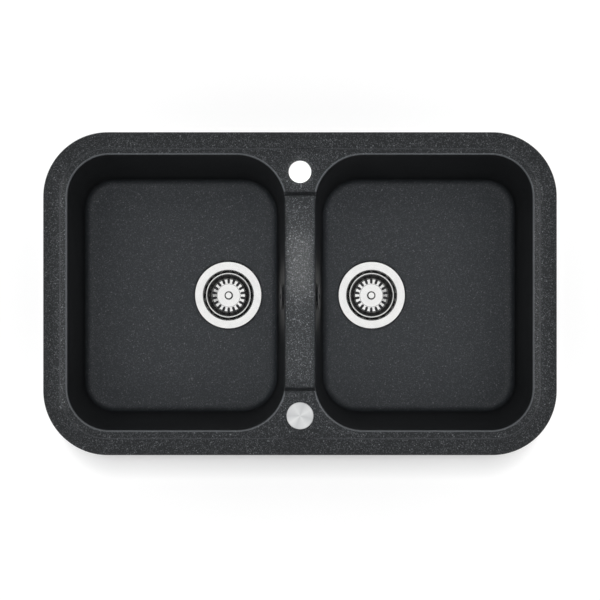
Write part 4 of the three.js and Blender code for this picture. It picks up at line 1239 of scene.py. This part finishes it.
# %% Union nuts and cap
nut_radius = 15.5
nut_line = [(12.3, -8.0), (nut_radius, -8.0), (nut_radius, 7.0), (14.5, 8.0), (10.3, 8.0), (10.3, 5.0)]
nut_line += [(12.3, 3.0)]
cap_line = [(12.3, -8.0), (nut_radius, -8.0), (nut_radius, 2.0), (14.5, 3.0), (0.0, 3.0), (0.0, 0.3)]
cap_line += [(12.3, 0.3)]


def with_grip(bm):
    """Narrow ribs round the outside of a turned nut."""
    sides = []
    for face in bm.faces:
        reach = face.calc_center_median()
        if math.hypot(reach.x, reach.y) > nut_radius - 0.25 and abs(face.normal.z) < 0.2:
            sides.append(face)
    bmesh.ops.inset_individual(bm, faces=sides, thickness=0.45, depth=-0.7, use_even_offset=True)
    return bm


cap_mouth = (drain_x - inlet_mouth.x, drain_y, drain_level + inlet_mouth.z)
nuts = [
    ("hose_nut_lower", nut_line, facing(hose_end, inlet_axis)),
    ("hose_nut_upper", nut_line, facing((0.0, drain_y, hose_top), (0.0, 0.0, -1.0))),
    ("inlet_cap", cap_line, facing(cap_mouth, (-inlet_axis.x, 0.0, inlet_axis.z))),
]
for node, line, place in nuts:
    finished(node, with_grip(turned(line, 30)), place, sharp=25.0)

# %% [markdown]
# ## The cover of the front tap hole
#
# The front hole is closed by a thick steel button with a low dome. Its stud goes down through the deck, where
# a washer and a wing nut hold it. The dome's edge is rounded, and the lathe left fine rings on its face.

# %% Cover, seal, washer and wing nut
stud_line = [(0.0, -25.5), (3.3, -25.5), (3.7, -25.0), (3.7, 8.5), (20.4, 8.5, 0.2), (21.0, 9.1, 0.4)]
stud_line += [(21.0, 9.8, 0.6), (20.1, 10.7, 0.8), (12.6, 11.4, 9.0), (0.0, 11.8)]
wing_hub_line = [(0.0, -14.9), (8.4, -14.9, 0.6), (9.0, -13.0, 1.0), (9.0, -6.9, 0.6), (0.0, -6.9)]
front_hole = shifted(*cover_axis, 0.0)
hole_cover = turned(rounded_line(stud_line, 6), 128)
gather(hole_cover, thread(4.0, -25.3, 2.0, 1.25, 0.4))
wings = block((36.0, 3.0, 6.0), (0.0, 0.0, -11.9), 1.2)
wing_nut = carved(turned(rounded_line(wing_hub_line), 64), wings, "UNION")
finished("tap_hole_cover", hole_cover, front_hole)
finished("tap_hole_cover_seal", ring(18.0, 20.5, 7.0, 8.2, 0.3), front_hole)
finished("tap_hole_cover_washer", ring(4.3, 23.0, -6.6, -3.6, 0.6), front_hole)
finished("tap_hole_cover_nut", carved(wing_nut, rod(4.3, -16.0, -5.0)), front_hole)

# %% [markdown]
# ## The strip under the rim
#
# A foam strip lies in the groove under the rim and keeps water out of the worktop. Its section is nearly
# square; each point of it becomes an outline, and the outlines are bridged into a closed ring.

# %% Sealing strip
strip = bmesh.new()
strip_section = [(5.0, 0.0), (2.3, 0.0, 0.4), (2.3, 2.2, 0.4), (7.7, 2.2, 0.4), (7.7, 0.0, 0.4)]
strip_section += [(5.01, 0.0)]
strip_loops = [rim_outline(strip, inset, z) for inset, z in rounded_line(strip_section, 3)]
stacked(strip, strip_loops + [strip_loops[0]])
finished("rim_seal", strip)

# %% [markdown]
# ## The clips
#
# A clip is a strip of zinc plated steel bent to an L, with a toothed edge that bites the underside of the
# worktop. It slides on its screw in a slot. The strip's middle line is rounded where it bends, drawn out to
# its width and given its thickness; slot and teeth are cut last.

# %% Clip
clip_width = 18.0
clip_jaw = (19.3, -38.0)
clip_line = [(1.3, -13.7), (1.3, -46.2, 3.0), (clip_jaw[0], -46.2, 1.6), clip_jaw]


def strip_of_steel(points, width):
    """A ribbon along Y from a line in X and Z."""
    bm = bmesh.new()
    edges = [item for item in wire(bm, points, False) if isinstance(item, bmesh.types.BMEdge)]
    drawn = bmesh.ops.extrude_edge_only(bm, edges=edges)["geom"]
    moved = [item for item in drawn if isinstance(item, bmesh.types.BMVert)]
    bmesh.ops.translate(bm, vec=(0.0, width, 0.0), verts=moved)
    bmesh.ops.translate(bm, vec=(0.0, -width / 2.0, 0.0), verts=bm.verts)
    bmesh.ops.recalc_face_normals(bm, faces=bm.faces)
    return bm


def notches():
    """Two square bars across the jaw's edge, which leave three teeth."""
    tool = bmesh.new()
    for y in (-3.0, 3.0):
        bar = bmesh.new()
        bmesh.ops.create_cone(bar, cap_ends=True, segments=4, radius1=2.0, radius2=2.0, depth=30.0)
        across = Matrix.Rotation(math.pi / 2.0, 4, "Y")
        gather(tool, placed(bar, across), shifted(clip_jaw[0], y, clip_jaw[1]))
    return tool


def clip_bracket():
    ribbon = strip_of_steel(rounded_line(clip_line, 6), clip_width)
    bracket = through_modifier(ribbon, "SOLIDIFY", thickness=2.0, offset=0.0, use_even_offset=True)
    softened(bracket, [e for e in bracket.edges if e.calc_face_angle(0.0) > 1.2], 0.3)
    upright = shifted(-1.0, 0.0, clip_level) @ Matrix.Rotation(math.pi / 2.0, 4, "Y")
    slot = placed(slot_filling(23.6, 5.6, 2.79, 6.0), upright)
    return carved(carved(bracket, slot), notches())


clip = clip_bracket()
print("clip:", len(clip.faces), "faces")

# %% Clip screw
clip_screw_line = [(0.0, -11.7), (1.9, -11.7), (2.2, -11.4), (2.2, 2.6), (4.8, 2.6, 0.2), (4.8, 4.4, 0.5)]
clip_screw_line += [(3.4, 6.0, 1.2), (0.0, 6.0)]
clip_screw = with_cross(turned(rounded_line(clip_screw_line), 48), 5.0, 1.0, 2.4, 6.1)
gather(clip_screw, thread(2.5, -11.6, 0.0, 0.9, 0.3))
print("clip screw:", len(clip_screw.faces), "faces")

# %% All eight clips
for name, site in clip_sites.items():
    finished(f"clip_{name}", clip.copy(), site)
    finished(f"clip_screw_{name}", clip_screw.copy(), site @ along_screw)
clip.free()
clip_screw.free()
print(len(finished_pieces), "pieces finished")

# %% [markdown]
# ## The studio
#
# The sink hangs above a pale floor. The floor glows a little, for camera and reflections only, so that it
# meets the white background and still keeps the sink's soft shadow. The world lights the object softly from
# all round, and shows as plain white.

# %% Floor
floor_level = -0.279
sheet = bmesh.new()
bmesh.ops.create_grid(sheet, x_segments=1, y_segments=1, size=6.0)
bmesh.ops.translate(sheet, vec=(0.0, 0.0, floor_level), verts=sheet.verts)
floor = as_object(sheet, "studio_floor")
paper = Finish("white paper floor")
mottle = paper.noise(300.0, 2.0)
paper.set(Base_Color=paper.ramp(mottle, (0.3, 0.80), (0.7, 0.81)), Roughness=0.9 + 0.05 * mottle)
glow = paper.node("ShaderNodeEmission", {}, {"Strength": 0.240})
plain = paper.shader.outputs[0]
lit = paper.node("ShaderNodeAddShader", {}, {0: plain, 1: glow.outputs[0]})
choice = paper.node("ShaderNodeMixShader", {}, {0: paper.seen(), 1: plain, 2: lit.outputs[0]})
paper.connect(choice.outputs[0], paper.tree.nodes["Material Output"].inputs["Surface"])
floor.data.materials.append(paper.material)
print("floor at", floor_level)

# %% World
scene.world = bpy.data.worlds.new("soft studio")
scene.world.use_nodes = True
sky = Nodes(scene.world.node_tree)
background = sky.tree.nodes["Background"]
background.inputs["Color"].default_value = (1.0, 1.0, 1.0, 1.0)
sky.connect(0.5 + 0.5 * sky.seen(), background.inputs["Strength"])
print("world set")

# %% [markdown]
# The photograph looks straight down from about four metres. The camera's axis is plumb; a small vertical
# shift puts the sink in the middle of the picture although the lens hangs a little towards the front.

# %% Camera
camera_place = Vector((0.0, -0.1052, 4.049))
camera_data = bpy.data.cameras.new("camera")
camera_data.sensor_width = 36.0
camera_data.lens = 156.7
camera_data.shift_y = 0.1027
camera = bpy.data.objects.new("camera", camera_data)
camera.location = camera_place
scene.collection.objects.link(camera)
scene.camera = camera
scene.view_settings.view_transform = "Standard"
print("camera", tuple(round(v, 4) for v in camera.location))

# %% [markdown]
# A long softbox hangs very high and well behind the sink, so its light is even and the shadow falls to the
# front. A second, weaker one hangs over the bowls and lights their floors. Both stay out of reflections.

# %% Softboxes
def softbox(name, spot, aim, size, watts, spread=180.0, shape="RECTANGLE"):
    lamp = bpy.data.lights.new(name, "AREA")
    lamp.shape = shape
    lamp.size, lamp.size_y = size
    lamp.energy = watts
    lamp.spread = math.radians(spread)
    holder = bpy.data.objects.new(name, lamp)
    holder.location = spot
    way = Vector(aim) - Vector(spot)
    holder.rotation_euler = way.to_track_quat("-Z", "Y").to_euler()
    scene.collection.objects.link(holder)
    return holder


far = softbox("far strip softbox", (0.0, 2.0, 25.0), (0.0, 2.0, 0.0), (0.8, 4.4), 3680.0)
near = softbox("near softbox", (0.0, 0.0, 1.2), (0.0, 0.0, 0.0), (0.68, 0.40), 0.84, 10.0)
far.visible_glossy = False
near.visible_glossy = False
print("softboxes:", far.name, "and", near.name)

# %% [markdown]
# The divider and the inner bands of the rim at both ends shine a little more than the rest in the photograph:
# narrow lights stand near them. Lamps with a small spread do that without touching the bowls. One more shines
# through the open tap hole, along the camera's line of sight, so that the paper below it is as white as the
# rest.

# %% Narrow lamps
hole = Vector((0.0, tap_y, deck_top)) / 1000.0
sight = hole - camera_place
start = hole - 0.1 * sight
narrow = [
    softbox("divider strip", (0.0, 0.004, 0.30), (0.0, 0.004, 0.0), (0.040, 0.27), 0.0036, 4.0),
    softbox("divider glow", (0.0, 0.045, 0.45), (0.0, 0.045, 0.0), (0.026, 0.10), 0.005, 8.0),
    softbox("tap hole light", start, start + sight, (0.036, 0.036), 0.004, 2.0, "DISK"),
]
for end in (-1.0, 1.0):
    spot, aim = (0.275 * end, 0.0, 0.30), (0.371 * end, 0.0, 0.004)
    narrow.append(softbox(f"band strip {end:+.0f}", spot, aim, (0.36, 0.018), 0.0048, 4.0))
for lamp in (near, *narrow):
    lamp.visible_camera = False
